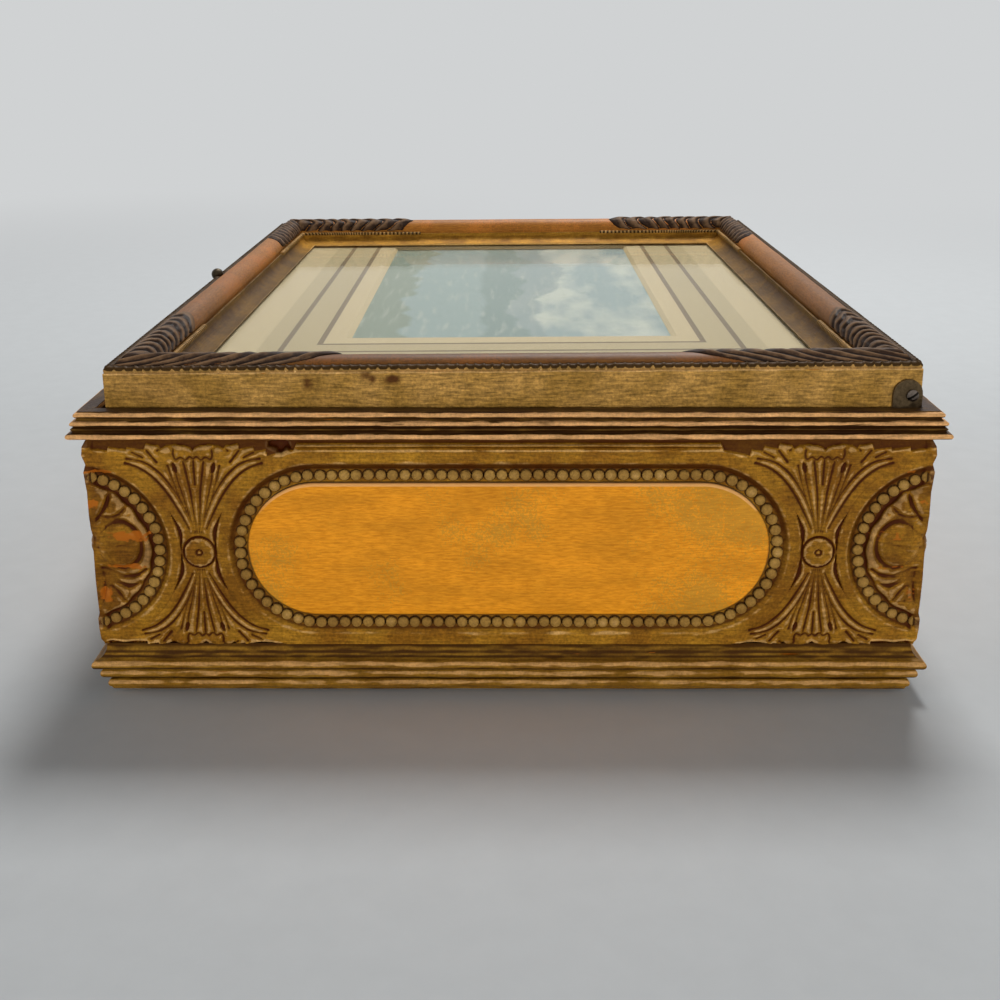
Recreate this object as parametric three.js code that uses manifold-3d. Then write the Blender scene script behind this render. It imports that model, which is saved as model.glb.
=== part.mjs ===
// A wooden keepsake box with moulded sides and a glazed picture lid.
// Millimetres, +Z up. +X is the long side's right end, the front with the knob faces -Y,
// the hinges are at +Y, and the origin is the middle of the underside.
import * as THREE from 'three';
import { mergeVertices } from 'three/addons/utils/BufferGeometryUtils.js';
import Module from 'manifold-3d';

const wasm = await Module();
wasm.setup();

// Lid outline. Every moulding is measured outward from this rectangle.
const lidLength = 296;
const lidWidth = 208;

// Clearances
const seam = 0.1;
const seat = 0.05;
const slip = 0.15;

// Case, from the underside up
const bottomThick = 2.4;
const bottomOut = 1;
const bottomShow = 0.8;
const baseHigh = 14.4;
const boardHigh = 57.1;
const rimFloor = 3.3;
const stripHigh = 4.1;
const stripWide = 3.65;
const boardInner = 5.6;
const groundOut = 3.4;
const liningThick = 1.5;
const liningDrop = 1.2;
const floorLiningThick = 1.2;

// Ridges of the mouldings: nose height, nose radius, and how far the nose stands out from the
// board's ground (base) or from the strip's edge (rim)
const baseRidges = [
  { up: 2.3, radius: 1.4, out: 0.6 },
  { up: 5.85, radius: 1.35, out: 2.05 },
  { up: 9.1, radius: 1.4, out: 3.7 },
];
const rimRidges = [
  { down: 5.5, radius: 1.3, out: 2.8 },
  { down: 3.05, radius: 1, out: 1.7 },
  { down: 0.85, radius: 0.78, out: 0.88 },
];
const grooveDeep = 0.5;

// Relief on each side board
const fieldRise = 0.7;
const ornamentRise = 0.55;
const fieldFoot = 1;
const fieldHead = 3.15;
const fieldBevel = 1.2;
const ovalHigh = 36.4;
const ovalEnd = 36.4;
const ovalRise = 0.35;
const ringGap = 2.3;
const ringWide = 3;
const rosetteRadius = 3.8;
const rosetteEnd = 28;
const medallionRadius = 20.2;
const medallionBeyond = 2.4;
const ovalDrop = 0.8;
const rosetteDrop = 0.6;
const arcSteps = 10;

// Lid: it lies in the rim's rebate, tight to the back, a little higher at the hinges
const lidTilt = THREE.MathUtils.degToRad(0.35);
const lidClear = 0.1;
const backGap = 0.3;
const earGap = 0.25;
const railWide = 17;
const rabbetIn = 12;
const sightLip = 0.5;
const sideUp = 12.1;
const undercut = 1.2;
const beadRadius = 0.95;
const beadLift = 0.8;
const beadBite = 0.3;
const torusRadius = 4.2;
const torusDrop = 0.73;
const torusFrom = 22;
const filletWide = 1.15;
const filletHigh = 0.6;
const grooveDrop = 2.38;
const leafGap = 0.15;
const leafThick = 0.6;
const leafLength = 60;
const leafTip = 16;
const leafFrom = 34;
const leafTo = 178;

// Glazing
const glassThick = 1.5;
const matThick = 1.2;
const printThick = 0.35;
const backingThick = 1.2;
const pictureHalfWide = 50;
const pictureNear = 66.5;
const matBackStrip = 4.2;
const bradRadius = 0.4;
const bradLong = 8;
const bradShow = 3;
const bradFloor = 0.32;
const bradSpread = 75;

// Hinge brackets, pivot pins, screws and knob
const steelThick = 0.9;
const earWide = 7.5;
const earAbovePivot = 4.1;
const footLong = 14.5;
const footWide = 6.2;
const footThick = 0.8;
const pivotFromBack = 2.5;
const pivotUp = 5.48;
const pinRadius = 1;
const pinHeadRadius = 1.5;
const pinHeadThick = 0.9;
const pinDeep = 8;
const screwHeadRadius = 1.5;
const screwHeadDeep = 0.6;
const screwRadius = 0.75;
const screwLong = 2.9;
const screwFirst = 2.6;
const screwPitch = 5;
const knobRadius = 2.1;
const knobNeck = 0.85;
const knobIn = 0.2;
const knobUp = 14.1;
const knobLean = 32;
const knobTenon = 7;

// Worked out from the sizes above
const halfLength = lidLength / 2;
const halfWidth = lidWidth / 2;
const boardLow = baseHigh + seat;
const boardTop = boardLow + boardHigh;
const rimLow = boardTop + seat;
const floorUp = rimLow + rimFloor;
const stripUp = floorUp + stripHigh;
const stripIn = slip + steelThick + earGap;
const stripOut = stripIn + stripWide;
const fieldLow = boardLow + fieldFoot;
const fieldHigh = boardTop - fieldHead;
const ovalMiddle = (fieldLow + fieldHigh) / 2 - ovalDrop;
const fieldOut = groundOut + fieldRise;
const ornamentOut = fieldOut + ornamentRise;
const bradUp = bradFloor + bradRadius;
const backingLow = bradUp + bradRadius + seat;
const printLow = backingLow + backingThick + seat;
const matLow = printLow + printThick + seat;
const glassLow = matLow + matThick + seat;
const sightUp = glassLow + glassThick + seat;
const torusUp = sideUp - torusDrop;
const torusIn = 2 * beadRadius - beadBite + torusRadius;
const grooveUp = sideUp - grooveDrop;
const lidBottom = floorUp + lidClear;
const lidFrontY = stripIn - backGap - halfWidth;
const pivotRun = lidWidth - pivotFromBack;
const pivotY = lidFrontY + pivotRun * Math.cos(lidTilt) - pivotUp * Math.sin(lidTilt);
const pivotZ = lidBottom + pivotRun * Math.sin(lidTilt) + pivotUp * Math.cos(lidTilt);

// Materials

function finish(color, roughness, metalness) {
  return new THREE.MeshStandardMaterial({ color, roughness, metalness });
}

const gold = finish(0x8a6a30, 0.5, 0.35);
const lidGold = finish(0x9c7c42, 0.5, 0.35);
const leafBronze = finish(0x4e4030, 0.45, 0.4);
const lining = finish(0x6e3a34, 0.95, 0);
const plainWood = finish(0xb08a58, 0.7, 0);
const matBoard = finish(0xd6d0b6, 0.9, 0);
const paper = finish(0xa8b8b4, 0.8, 0);
const card = finish(0x9a8462, 0.9, 0);
const steel = finish(0x4a4238, 0.45, 0.8);
const darkBrass = finish(0x3a3020, 0.4, 0.8);
const glass = finish(0xdfe8e4, 0.05, 0);
glass.transparent = true;
glass.opacity = 0.3;

// Closed geometry in and out of the boolean library

function solid(geometry) {
  geometry.deleteAttribute('normal');
  geometry.deleteAttribute('uv');
  const merged = mergeVertices(geometry, 1e-4);
  return new wasm.Manifold(new wasm.Mesh({
    numProp: 3,
    vertProperties: new Float32Array(merged.attributes.position.array),
    triVerts: new Uint32Array(merged.index.array),
  }));
}

function surface(body) {
  const mesh = body.getMesh();
  const geometry = new THREE.BufferGeometry();
  geometry.setAttribute('position', new THREE.BufferAttribute(new Float32Array(mesh.vertProperties), 3));
  geometry.setIndex(new THREE.BufferAttribute(new Uint32Array(mesh.triVerts), 1));
  geometry.computeVertexNormals();
  return geometry;
}

function joined(geometries) {
  return geometries.map(solid).reduce((body, other) => body.add(other));
}

function drilled(geometry, tools) {
  return surface(tools.map(solid).reduce((body, tool) => body.subtract(tool), solid(geometry)));
}

// The same form at the other end of the box, with its faces still pointing out.
function mirrored(geometry) {
  const copy = geometry.index ? geometry.toNonIndexed() : geometry.clone();
  copy.scale(-1, 1, 1);
  const at = copy.attributes.position;
  for (let i = 0; i < at.count; i += 3) {
    const corner = [at.getX(i), at.getY(i), at.getZ(i)];
    at.setXYZ(i, at.getX(i + 1), at.getY(i + 1), at.getZ(i + 1));
    at.setXYZ(i + 1, ...corner);
  }
  copy.deleteAttribute('normal');
  copy.deleteAttribute('uv');
  const merged = mergeVertices(copy, 1e-4);
  merged.computeVertexNormals();
  return merged;
}

// Profiles are lists of [outward, up], anticlockwise

function arc(centre, radius, from, to, steps) {
  const points = [];
  for (let i = 0; i <= steps; i += 1) {
    const angle = THREE.MathUtils.degToRad(from + (to - from) * i / steps);
    points.push([centre[0] + radius * Math.cos(angle), centre[1] + radius * Math.sin(angle)]);
  }
  return points;
}

function rectangle(inner, outer, low, high) {
  return [[inner, low], [outer, low], [outer, high], [inner, high]];
}

// One rail of a frame. It runs along X with its outside facing -Y, and both ends are mitred.
function mitredRail(profile, run, depth) {
  const shape = new THREE.Shape(profile.map(([out, up]) => new THREE.Vector2(out, up)));
  const geometry = new THREE.ExtrudeGeometry(shape, { depth: 1, bevelEnabled: false });
  const at = geometry.attributes.position;
  for (let i = 0; i < at.count; i += 1) {
    const out = at.getX(i);
    const end = at.getZ(i) > 0.5 ? -1 : 1;
    at.setXYZ(i, end * (run + out - seam / 2), -(depth + out), at.getY(i));
  }
  return geometry;
}

// Each side's rail is made facing the front, then turned to its place.
const sides = [
  { name: 'front', turn: 0, run: halfLength, depth: halfWidth },
  { name: 'right', turn: Math.PI / 2, run: halfWidth, depth: halfLength },
  { name: 'back', turn: Math.PI, run: halfLength, depth: halfWidth },
  { name: 'left', turn: -Math.PI / 2, run: halfWidth, depth: halfLength },
];

function piece(name, geometry, material, turn = 0) {
  const mesh = new THREE.Mesh(geometry, material);
  mesh.name = name;
  mesh.rotation.z = turn;
  return mesh;
}

function box(xSize, ySize, zSize, low) {
  const geometry = new THREE.BoxGeometry(xSize, ySize, zSize);
  geometry.translate(0, 0, low + zSize / 2);
  return geometry;
}

// Profile points and radii are [radius, height] along the axis.
function lathed(profile, segments) {
  return new THREE.LatheGeometry(profile.map(([r, y]) => new THREE.Vector2(r, y)), segments);
}

// Base moulding: three ridges that step outward, then a cove up to the side boards

function baseProfile() {
  const rebateUp = bottomThick + seat;
  const rebateOut = bottomOut + seat;
  const points = [[-boardInner, baseHigh], [-boardInner, rebateUp], [rebateOut, rebateUp],
    [rebateOut, bottomShow], [groundOut - grooveDeep, bottomShow]];
  for (const ridge of baseRidges) {
    const nose = arc([groundOut + ridge.out - ridge.radius, ridge.up], ridge.radius, -60, 60, 4);
    points.push(...nose);
    points.push([nose[4][0] - grooveDeep / 2, nose[4][1] + grooveDeep / 2]);
  }
  const from = points[points.length - 1];
  const out = from[0] - groundOut - grooveDeep;
  const rise = baseHigh - from[1];
  for (const [across, along] of [[0.55, 0.15], [0.85, 0.45], [1, 0.75], [1, 1]]) {
    points.push([from[0] - out * across, from[1] + rise * along]);
  }
  return points;
}

// Rim: a rebate for the lid, an outer strip, and three ridges that step down to a neck

function rimProfile() {
  const points = [[-boardInner, rimLow], [groundOut + grooveDeep, rimLow]];
  for (const ridge of rimRidges) {
    const nose = arc([stripOut + ridge.out - ridge.radius, stripUp - ridge.down], ridge.radius, -55, 55, 4);
    points.push([nose[0][0] - grooveDeep, nose[0][1] - grooveDeep / 4]);
    points.push(...nose);
  }
  points.push([stripOut, stripUp], [stripIn, stripUp], [stripIn, floorUp], [-boardInner, floorUp]);
  return points;
}

// Side boards: a slab, a raised field, and the oval, rosettes and corner medallions

function racetrack(halfRun, radius, hole) {
  const shape = new THREE.Shape();
  shape.moveTo(-halfRun, -radius);
  shape.lineTo(halfRun, -radius);
  shape.absarc(halfRun, 0, radius, -Math.PI / 2, Math.PI / 2, false);
  shape.lineTo(-halfRun, radius);
  shape.absarc(-halfRun, 0, radius, Math.PI / 2, 3 * Math.PI / 2, false);
  if (hole) shape.holes.push(hole);
  return shape;
}

function ringShape(radius) {
  const shape = new THREE.Shape();
  shape.absarc(0, 0, radius + ringWide / 2, 0, Math.PI * 2, false);
  const hole = new THREE.Path();
  hole.absarc(0, 0, radius - ringWide / 2, 0, Math.PI * 2, true);
  shape.holes.push(hole);
  return shape;
}

// A flat shape raised outward from inside the board, centred on the oval's middle height.
function raised(shape, depth, out, x) {
  const options = { depth: boardInner / 2 + out, bevelEnabled: false, curveSegments: arcSteps };
  const geometry = new THREE.ExtrudeGeometry(shape, options);
  geometry.rotateX(Math.PI / 2);
  geometry.translate(x, boardInner / 2 - depth, ovalMiddle);
  return geometry;
}

function rosette(depth, x) {
  const dome = ornamentOut - fieldOut;
  const profile = [[0, -dome], [rosetteRadius, -dome], [rosetteRadius, dome / 3],
    [rosetteRadius * 0.7, dome * 0.85], [0, dome]];
  const geometry = lathed(profile, 2 * arcSteps);
  geometry.rotateX(Math.PI / 2);
  geometry.translate(x, -(depth + fieldOut), ovalMiddle - rosetteDrop);
  return geometry;
}

function sideBoard(run, depth) {
  const slab = mitredRail(rectangle(-boardInner, groundOut, boardLow, boardTop), run, depth);
  const field = mitredRail([[-boardInner, fieldLow], [groundOut, fieldLow], [fieldOut, fieldLow + fieldBevel],
    [fieldOut, fieldHigh - fieldBevel], [groundOut, fieldHigh], [-boardInner, fieldHigh]], run, depth);
  const radius = ovalHigh / 2;
  const ovalRun = run - ovalEnd - radius;
  const ringInner = radius + ringGap - ringWide / 2;
  const ring = racetrack(ovalRun, ringInner + ringWide, racetrack(ovalRun, ringInner));
  const forms = [slab, field, raised(racetrack(ovalRun, radius), depth, fieldOut + ovalRise, 0),
    raised(ring, depth, ornamentOut, 0)];
  for (const end of [-1, 1]) {
    forms.push(rosette(depth, end * (run + ornamentOut - rosetteEnd)));
    forms.push(raised(ringShape(medallionRadius), depth, ornamentOut,
      end * (run + ornamentOut + medallionBeyond)));
  }
  const envelope = mitredRail(rectangle(-boardInner, ornamentOut, boardLow, boardTop), run, depth);
  return surface(joined(forms).intersect(solid(envelope)));
}

// Hinge hardware at the +X end: an ear beside the lid's end, on a foot screwed to the rebate

const steelLow = floorUp + seat;
const footTop = steelLow + footThick;
const earInner = halfLength + slip;
const earOuter = earInner + steelThick;
const bracketBack = lidFrontY + lidWidth + seat;
const screwX = earOuter - steelThick - (footWide - steelThick) / 2;
const screwY = [0, 1].map((i) => bracketBack - footLong + screwFirst + i * screwPitch);

// A countersunk screw with its axis along Z. Grown by a clearance, the form is its hole.
function screwForm(y, grow = 0) {
  const open = grow > 0 ? footThick : 0;
  const profile = [[0, -screwLong - grow], [screwRadius + grow, -screwLong - grow],
    [screwRadius + grow, -screwHeadDeep], [screwHeadRadius + grow, 0]];
  if (open) profile.push([screwHeadRadius + grow, open]);
  profile.push([0, open]);
  const geometry = lathed(profile, 12);
  geometry.rotateX(Math.PI / 2);
  geometry.translate(screwX, y, footTop);
  return geometry;
}

function bracket() {
  const radius = earWide / 2;
  const centreY = bracketBack - radius;
  const shoulder = pivotZ + earAbovePivot - radius;
  const ear = new THREE.Shape();
  ear.moveTo(centreY - radius, steelLow);
  ear.lineTo(centreY + radius, steelLow);
  ear.lineTo(centreY + radius, shoulder);
  ear.absarc(centreY, shoulder, radius, 0, Math.PI, false);
  const plate = new THREE.ExtrudeGeometry(ear, { depth: steelThick, bevelEnabled: false, curveSegments: arcSteps });
  plate.rotateX(Math.PI / 2);
  plate.rotateZ(Math.PI / 2);
  plate.translate(earInner, 0, 0);
  const foot = box(footWide, footLong, footThick, steelLow);
  foot.translate(earOuter - footWide / 2, bracketBack - footLong / 2, 0);
  const pinHole = new THREE.CylinderGeometry(pinRadius + seat, pinRadius + seat, 4 * steelThick, 24);
  pinHole.rotateZ(Math.PI / 2);
  pinHole.translate(earInner, pivotY, pivotZ);
  const holes = [pinHole, ...screwY.map((y) => screwForm(y, seat))];
  return surface(holes.map(solid).reduce((body, hole) => body.subtract(hole), joined([plate, foot])));
}

// Lid rail: flat side, beaded edge, torus, groove, fillet, and a cove down to the sight edge

function lidProfile() {
  const inner = -torusIn - torusRadius;
  const points = [[-rabbetIn, 0], ...arc([-undercut, undercut], undercut, -90, 0, 4), [0, sideUp],
    ...arc([-beadRadius, sideUp + beadLift], beadRadius, 0, 170, 7),
    ...arc([-torusIn, torusUp], torusRadius, torusFrom, 195, 14),
    [inner, grooveUp], [inner - filletWide / 3, grooveUp],
    [inner - filletWide / 3, grooveUp + filletHigh], [inner - filletWide, grooveUp + filletHigh]];
  const deep = railWide + inner - filletWide - seam;
  const fall = grooveUp - sightUp - sightLip;
  for (const angle of [10, 32, 54, 72, 90]) {
    const turn = THREE.MathUtils.degToRad(angle);
    points.push([inner - filletWide - seam - deep * (1 - Math.cos(turn)), grooveUp - fall * Math.sin(turn)]);
  }
  points.push([-railWide, sightUp], [-rabbetIn, sightUp]);
  return points;
}

// Corner leaf: a shell over the torus along both rails of the +X, -Y corner, with pointed ends

function leafHalf(run, depth) {
  const centre = [-torusIn, torusUp];
  const outer = arc(centre, torusRadius + leafGap + leafThick, leafFrom, leafTo, 10);
  const inner = arc(centre, torusRadius + leafGap, leafTo, leafFrom, 10);
  return mitredRail([...outer, ...inner], run + seam / 2, depth);
}

function cornerLeaf() {
  const endHalf = leafHalf(halfWidth, halfLength);
  endHalf.rotateZ(Math.PI / 2);
  const body = leafLength - leafTip;
  const wide = 2 * torusIn;
  const plan = [[1, -1], [1, body], [-torusIn, leafLength], [-wide, body], [-wide, wide], [-body, wide],
    [-leafLength, torusIn], [-body, -1]];
  const outline = new THREE.Shape(plan.map(([x, y]) => new THREE.Vector2(halfLength + x, y - halfWidth)));
  const cutter = new THREE.ExtrudeGeometry(outline, { depth: 4 * torusRadius, bevelEnabled: false });
  cutter.translate(0, 0, torusUp - 2 * torusRadius);
  return surface(joined([leafHalf(halfLength, halfWidth), endHalf]).intersect(solid(cutter)));
}

// Glazing: flat sheets that drop into the rabbet from below, held by brads

const sheetLength = lidLength - 2 * rabbetIn - 2 * seam;
const sheetWidth = lidWidth - 2 * rabbetIn - 2 * seam;

function corners(left, right, low, high) {
  return [[left, low], [right, low], [right, high], [left, high]].map(([x, y]) => new THREE.Vector2(x, y));
}

function matSheet() {
  const x = sheetLength / 2;
  const y = sheetWidth / 2;
  const shape = new THREE.Shape(corners(-x, x, -y, y));
  shape.holes.push(new THREE.Path(corners(matBackStrip - x, pictureNear, -pictureHalfWide, pictureHalfWide)));
  const geometry = new THREE.ExtrudeGeometry(shape, { depth: matThick, bevelEnabled: false });
  geometry.translate(0, 0, matLow);
  return geometry;
}

// Places of the brads along each rail, measured from its middle
const bradPlaces = { front: [-bradSpread, bradSpread], right: [0], back: [-bradSpread, bradSpread], left: [0] };

function bradForm(x, depth, grow = 0) {
  const long = bradLong + grow;
  const geometry = new THREE.CylinderGeometry(bradRadius + grow, bradRadius + grow, long, 8);
  geometry.translate(x, rabbetIn + bradShow - depth - long / 2, bradUp);
  return geometry;
}

// Knob: a ball on the front rail's upper edge, leaning outward, with a tenon in the rail
function knobForm(grow = 0) {
  const ball = arc([0, 0], knobRadius + grow, -58, 90, 10).slice(0, -1);
  const neck = knobNeck + grow;
  const geometry = lathed([[0, -knobTenon - grow], [neck, -knobTenon - grow], [neck, -0.9 * knobRadius], ...ball,
    [0, knobRadius + grow]], 20);
  geometry.rotateX(THREE.MathUtils.degToRad(90 + knobLean));
  geometry.translate(0, knobIn - halfWidth, knobUp);
  return geometry;
}

// Pivot pin at the +X end: its head lies outside the ear, its shank in the lid's rails
function pinForm() {
  const head = slip + steelThick + seat;
  const profile = [[0, -pinDeep], [pinRadius, -pinDeep], [pinRadius, head], [pinHeadRadius, head],
    [pinHeadRadius, head + pinHeadThick * 0.4], [pinHeadRadius * 0.6, head + pinHeadThick * 0.85],
    [0, head + pinHeadThick]];
  return seatedPin(lathed(profile, 24));
}

function pinHole() {
  const radius = pinRadius + seat;
  return seatedPin(lathed([[0, -pinDeep - seat], [radius, -pinDeep - seat], [radius, 1], [0, 1]], 24));
}

function seatedPin(geometry) {
  geometry.rotateZ(-Math.PI / 2);
  geometry.translate(halfLength, halfWidth - pivotFromBack, pivotUp);
  return geometry;
}

// Assembly

const keepsakeBox = new THREE.Group();
const lid = new THREE.Group();
lid.position.set(0, lidFrontY, lidBottom);
lid.rotation.x = lidTilt;
const lidFrame = new THREE.Group();
lidFrame.position.y = halfWidth;
lid.add(lidFrame);
keepsakeBox.add(lid);

function addCase() {
  const bottom = box(lidLength + 2 * bottomOut, lidWidth + 2 * bottomOut, bottomThick, 0);
  keepsakeBox.add(piece('bottom_board', bottom, plainWood));
  const liningInner = -boardInner - seat - liningThick;
  const liningLow = bottomThick + seat;
  const inset = 2 * (seam - liningInner);
  const floorCard = box(lidLength - inset, lidWidth - inset, floorLiningThick, liningLow);
  keepsakeBox.add(piece('floor_lining', floorCard, lining));
  for (const { name, turn, run, depth } of sides) {
    const liner = rectangle(liningInner, -boardInner - seat, liningLow, floorUp - liningDrop);
    keepsakeBox.add(piece(`base_${name}`, mitredRail(baseProfile(), run, depth), gold, turn));
    keepsakeBox.add(piece(`panel_${name}`, sideBoard(run, depth), gold, turn));
    keepsakeBox.add(piece(`lining_${name}`, mitredRail(liner, run, depth), lining, turn));
  }
}

// The rim's end rails are drilled for the bracket screws.
function addRim() {
  const holes = {
    right: () => screwY.map((y) => screwForm(y, seat)),
    left: () => screwY.map((y) => mirrored(screwForm(y, seat))),
  };
  for (const { name, turn, run, depth } of sides) {
    let rail = mitredRail(rimProfile(), run, depth);
    if (holes[name]) rail = drilled(rail, holes[name]().map((hole) => hole.rotateZ(-turn)));
    keepsakeBox.add(piece(`rim_${name}`, rail, gold, turn));
  }
}

function addHinges() {
  keepsakeBox.add(piece('bracket_right', bracket(), steel));
  keepsakeBox.add(piece('bracket_left', mirrored(bracket()), steel));
  screwY.forEach((y, i) => {
    keepsakeBox.add(piece(`screw_right_${i + 1}`, screwForm(y), steel));
    keepsakeBox.add(piece(`screw_left_${i + 1}`, mirrored(screwForm(y)), steel));
  });
  lidFrame.add(piece('pivot_right', pinForm(), steel));
  lidFrame.add(piece('pivot_left', mirrored(pinForm()), steel));
}

// Lid rails are drilled for the pivot pins, the knob and the brads.
function addLidRails() {
  for (const { name, turn, run, depth } of sides) {
    const holes = bradPlaces[name].map((x) => bradForm(x, depth, seat));
    if (name !== 'left' && name !== 'front') holes.push(pinHole().rotateZ(-turn));
    if (name !== 'right' && name !== 'front') holes.push(mirrored(pinHole()).rotateZ(-turn));
    if (name === 'front') holes.push(knobForm(seat));
    const rail = drilled(mitredRail(lidProfile(), run, depth), holes);
    lidFrame.add(piece(`lid_${name}`, rail, lidGold, turn));
    bradPlaces[name].forEach((x, i) => {
      lidFrame.add(piece(`brad_${name}_${i + 1}`, bradForm(x, depth), steel, turn));
    });
  }
}

function addLeaves() {
  const leaf = cornerLeaf();
  const reflected = mirrored(leaf);
  lidFrame.add(piece('leaf_front_right', leaf, leafBronze));
  lidFrame.add(piece('leaf_front_left', reflected, leafBronze));
  lidFrame.add(piece('leaf_back_left', leaf, leafBronze, Math.PI));
  lidFrame.add(piece('leaf_back_right', reflected, leafBronze, Math.PI));
}

function addGlazing() {
  lidFrame.add(piece('glass', box(sheetLength, sheetWidth, glassThick, glassLow), glass));
  lidFrame.add(piece('picture_mat', matSheet(), matBoard));
  lidFrame.add(piece('picture_print', box(sheetLength, sheetWidth, printThick, printLow), paper));
  lidFrame.add(piece('backing_board', box(sheetLength, sheetWidth, backingThick, backingLow), card));
}

addCase();
addRim();
addHinges();
addLidRails();
addLeaves();
addGlazing();
lidFrame.add(piece('knob', knobForm(), darkBrass));

export default keepsakeBox;
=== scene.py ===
import math

import bpy
import numpy as np
from mathutils import Matrix, Vector


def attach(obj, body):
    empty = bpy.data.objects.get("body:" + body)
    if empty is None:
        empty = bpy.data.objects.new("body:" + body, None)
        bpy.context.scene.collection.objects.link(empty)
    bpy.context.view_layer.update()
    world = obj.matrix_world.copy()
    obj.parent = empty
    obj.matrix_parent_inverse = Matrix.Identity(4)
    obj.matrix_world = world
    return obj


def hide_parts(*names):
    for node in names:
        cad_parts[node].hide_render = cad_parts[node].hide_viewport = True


bl_info = {
    "name": "Keepsake Box",
    "version": (1, 0, 0),
    "blender": (4, 5, 0),
    "location": "View3D > Sidebar > Keepsake Box",
    "description": "Builds a gilt wooden keepsake box with carved sides and a framed lid",
    "category": "Add Mesh",
}

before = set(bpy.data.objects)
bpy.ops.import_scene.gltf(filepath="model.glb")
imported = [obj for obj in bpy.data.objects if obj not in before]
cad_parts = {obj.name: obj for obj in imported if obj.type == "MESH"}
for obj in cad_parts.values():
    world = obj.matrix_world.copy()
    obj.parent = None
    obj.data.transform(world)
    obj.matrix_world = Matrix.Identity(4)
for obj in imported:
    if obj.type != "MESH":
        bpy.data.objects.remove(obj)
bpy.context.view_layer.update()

# Lengths below are millimetres. out is measured outward from the lid's outline, up from the floor
# for the case and from the lid's underside for the lid.
half_length = 148.0
half_width = 104.0
seam = 0.1
lid_tilt = math.radians(0.35)
lid_front = -103.0
lid_bottom = 75.0

# Side boards
board_low = 14.45
board_top = 71.55
board_inner = -5.6
corner_out = 4.65
field_out = 4.15
ground_out = 2.9
channel_out = 3.1
middle_up = 41.1
oval_radius = 18.5
oval_end = 58.94
bead_ring = 20.4
channel_half = 2.3
medallion_beyond = 2.95
medallion_up = 41.0
medallion_ring = 20.45
medallion_half = 2.0
rosette_in = 27.85
rosette_up = 40.5
rosette_radius = 3.85
oval_face = 4.62

# Mouldings: where the case's are mitred, the step along each one, and the lid's round one
mitre_out = 3.4
moulding_step = 1.2
torus_centre = (-5.8, 11.37)
torus_radius = 4.2
rail_width = 17.0

# How much further a corner leaf and its ribbed fillet run on the long rails, and on the short ones
leaf_further = (8, 1)
rib_further = (12, 4)

# Dark marks painted on the end that is seen, through the hollow attribute: first a broad darker patch towards
# one end, then small knocks. Place along, height, size both ways and depth
lid_knocks = [(-92, 8.0, 16, 9.0, 0.15), (-52, 9.4, 1.3, 1.9, 0.5), (-30.4, 10.3, 1.9, 1.1, 0.75),
              (-37.2, 11.4, 1.0, 1.3, 0.6), (-35.6, 10.4, 1.0, 1.1, 0.6)]

# Quarter turns from the front, half the side's length and its distance from the middle
SIDES = {"front": (0, half_length, half_width), "right": (1, half_width, half_length),
         "back": (2, half_length, half_width), "left": (3, half_width, half_length)}


def hex_colour(code):
    """An sRGB hex value as linear red, green and blue."""
    parts = [int(code[i:i + 2], 16) / 255 for i in (1, 3, 5)]
    return tuple(c / 12.92 if c <= 0.04045 else ((c + 0.055) / 1.055) ** 2.4 for c in parts)


def size_property(name, value, text):
    return bpy.props.FloatProperty(name=name, description=text, default=value, unit="LENGTH", precision=5)


def colour_property(name, code, text):
    return bpy.props.FloatVectorProperty(name=name, description=text, default=hex_colour(code),
                                         subtype="COLOR", size=3, min=0.0, max=1.0)


class KeepsakeSizes(bpy.types.PropertyGroup):
    """Sizes of the carved and turned detail."""
    bead_pitch: size_property("Bead pitch", 0.00312, "Distance between the beads round an oval")
    bead_radius: size_property("Bead radius", 0.00152, "Radius of one carved bead")
    notch_pitch: size_property("Notch pitch", 0.0024, "Distance between the notches on the lid's edge")
    leaf_pitch: size_property("Leaf ridge pitch", 0.0067, "Distance between the ridges of a corner leaf")
    leaf_length: size_property("Leaf length", 0.060, "How far a corner leaf runs along a rail")
    rib_pitch: size_property("Rib pitch", 0.0017, "Distance between the ribs of the fillet beside a leaf")
    mat_bevel: size_property("Mat bevel", 0.0012, "Width of the bevel cut round the picture")
    waviness: size_property("Waviness", 0.00009, "How far a hand-worked moulding strays from straight")


class KeepsakeColours(bpy.types.PropertyGroup):
    """Colours of the finishes."""
    gilt: colour_property("Gilt paint", "#9E701E", "Bronze gold paint on the sides")
    gilt_dark: colour_property("Dark gilt", "#805414", "The same paint where it has darkened")
    worn: colour_property("Worn wood", "#BC9258", "Bare wood on rubbed edges")
    # Dirt and painted shade in the hollows, in one colour
    grime_and_shade: colour_property("Grime", "#3E1602", "Dirt and painted shade in the hollows")
    lid_gold: colour_property("Lid gold", "#A67E40", "Paint on the flat side of the lid")
    honey: colour_property("Honey wood", "#D68C1C", "Stained wood of the ovals")
    honey_dark: colour_property("Dark honey wood", "#B8700E", "Grain of the ovals")
    torus: colour_property("Rubbed moulding", "#8C5A22", "Red-brown wood of the lid's round moulding")
    bronze: colour_property("Leaf bronze", "#30221A", "Dark bronze of the corner leaves")
    bronze_rub: colour_property("Rubbed bronze", "#806246", "High lines of the corner leaves")
    mat: colour_property("Mat board", "#BEAC82", "Cream of the mat")
    mat_wash: colour_property("Mat wash", "#A4966E", "Tinted band on the mat")
    mat_line: colour_property("Mat line", "#6E5C40", "Ruled lines on the mat")
    steel: colour_property("Dark steel", "#6A5840", "Brackets, screws and brads")
    brass: colour_property("Dark brass", "#40372A", "Knob")
    lining: colour_property("Lining paper", "#6E3A34", "Paper inside the box")
    plain_wood: colour_property("Plain wood", "#B08A58", "Bottom board")
    card: colour_property("Backing card", "#9A8462", "Board behind the picture")
    floor: colour_property("Floor", "#C2C5C6", "Paper that the box stands on")
    backdrop: colour_property("Backdrop", "#D0D2D3", "Backdrop behind the box")


# Numbers and curves

def smooth(value):
    value = np.clip(value, 0, 1)
    return value * value * (3 - 2 * value)


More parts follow.
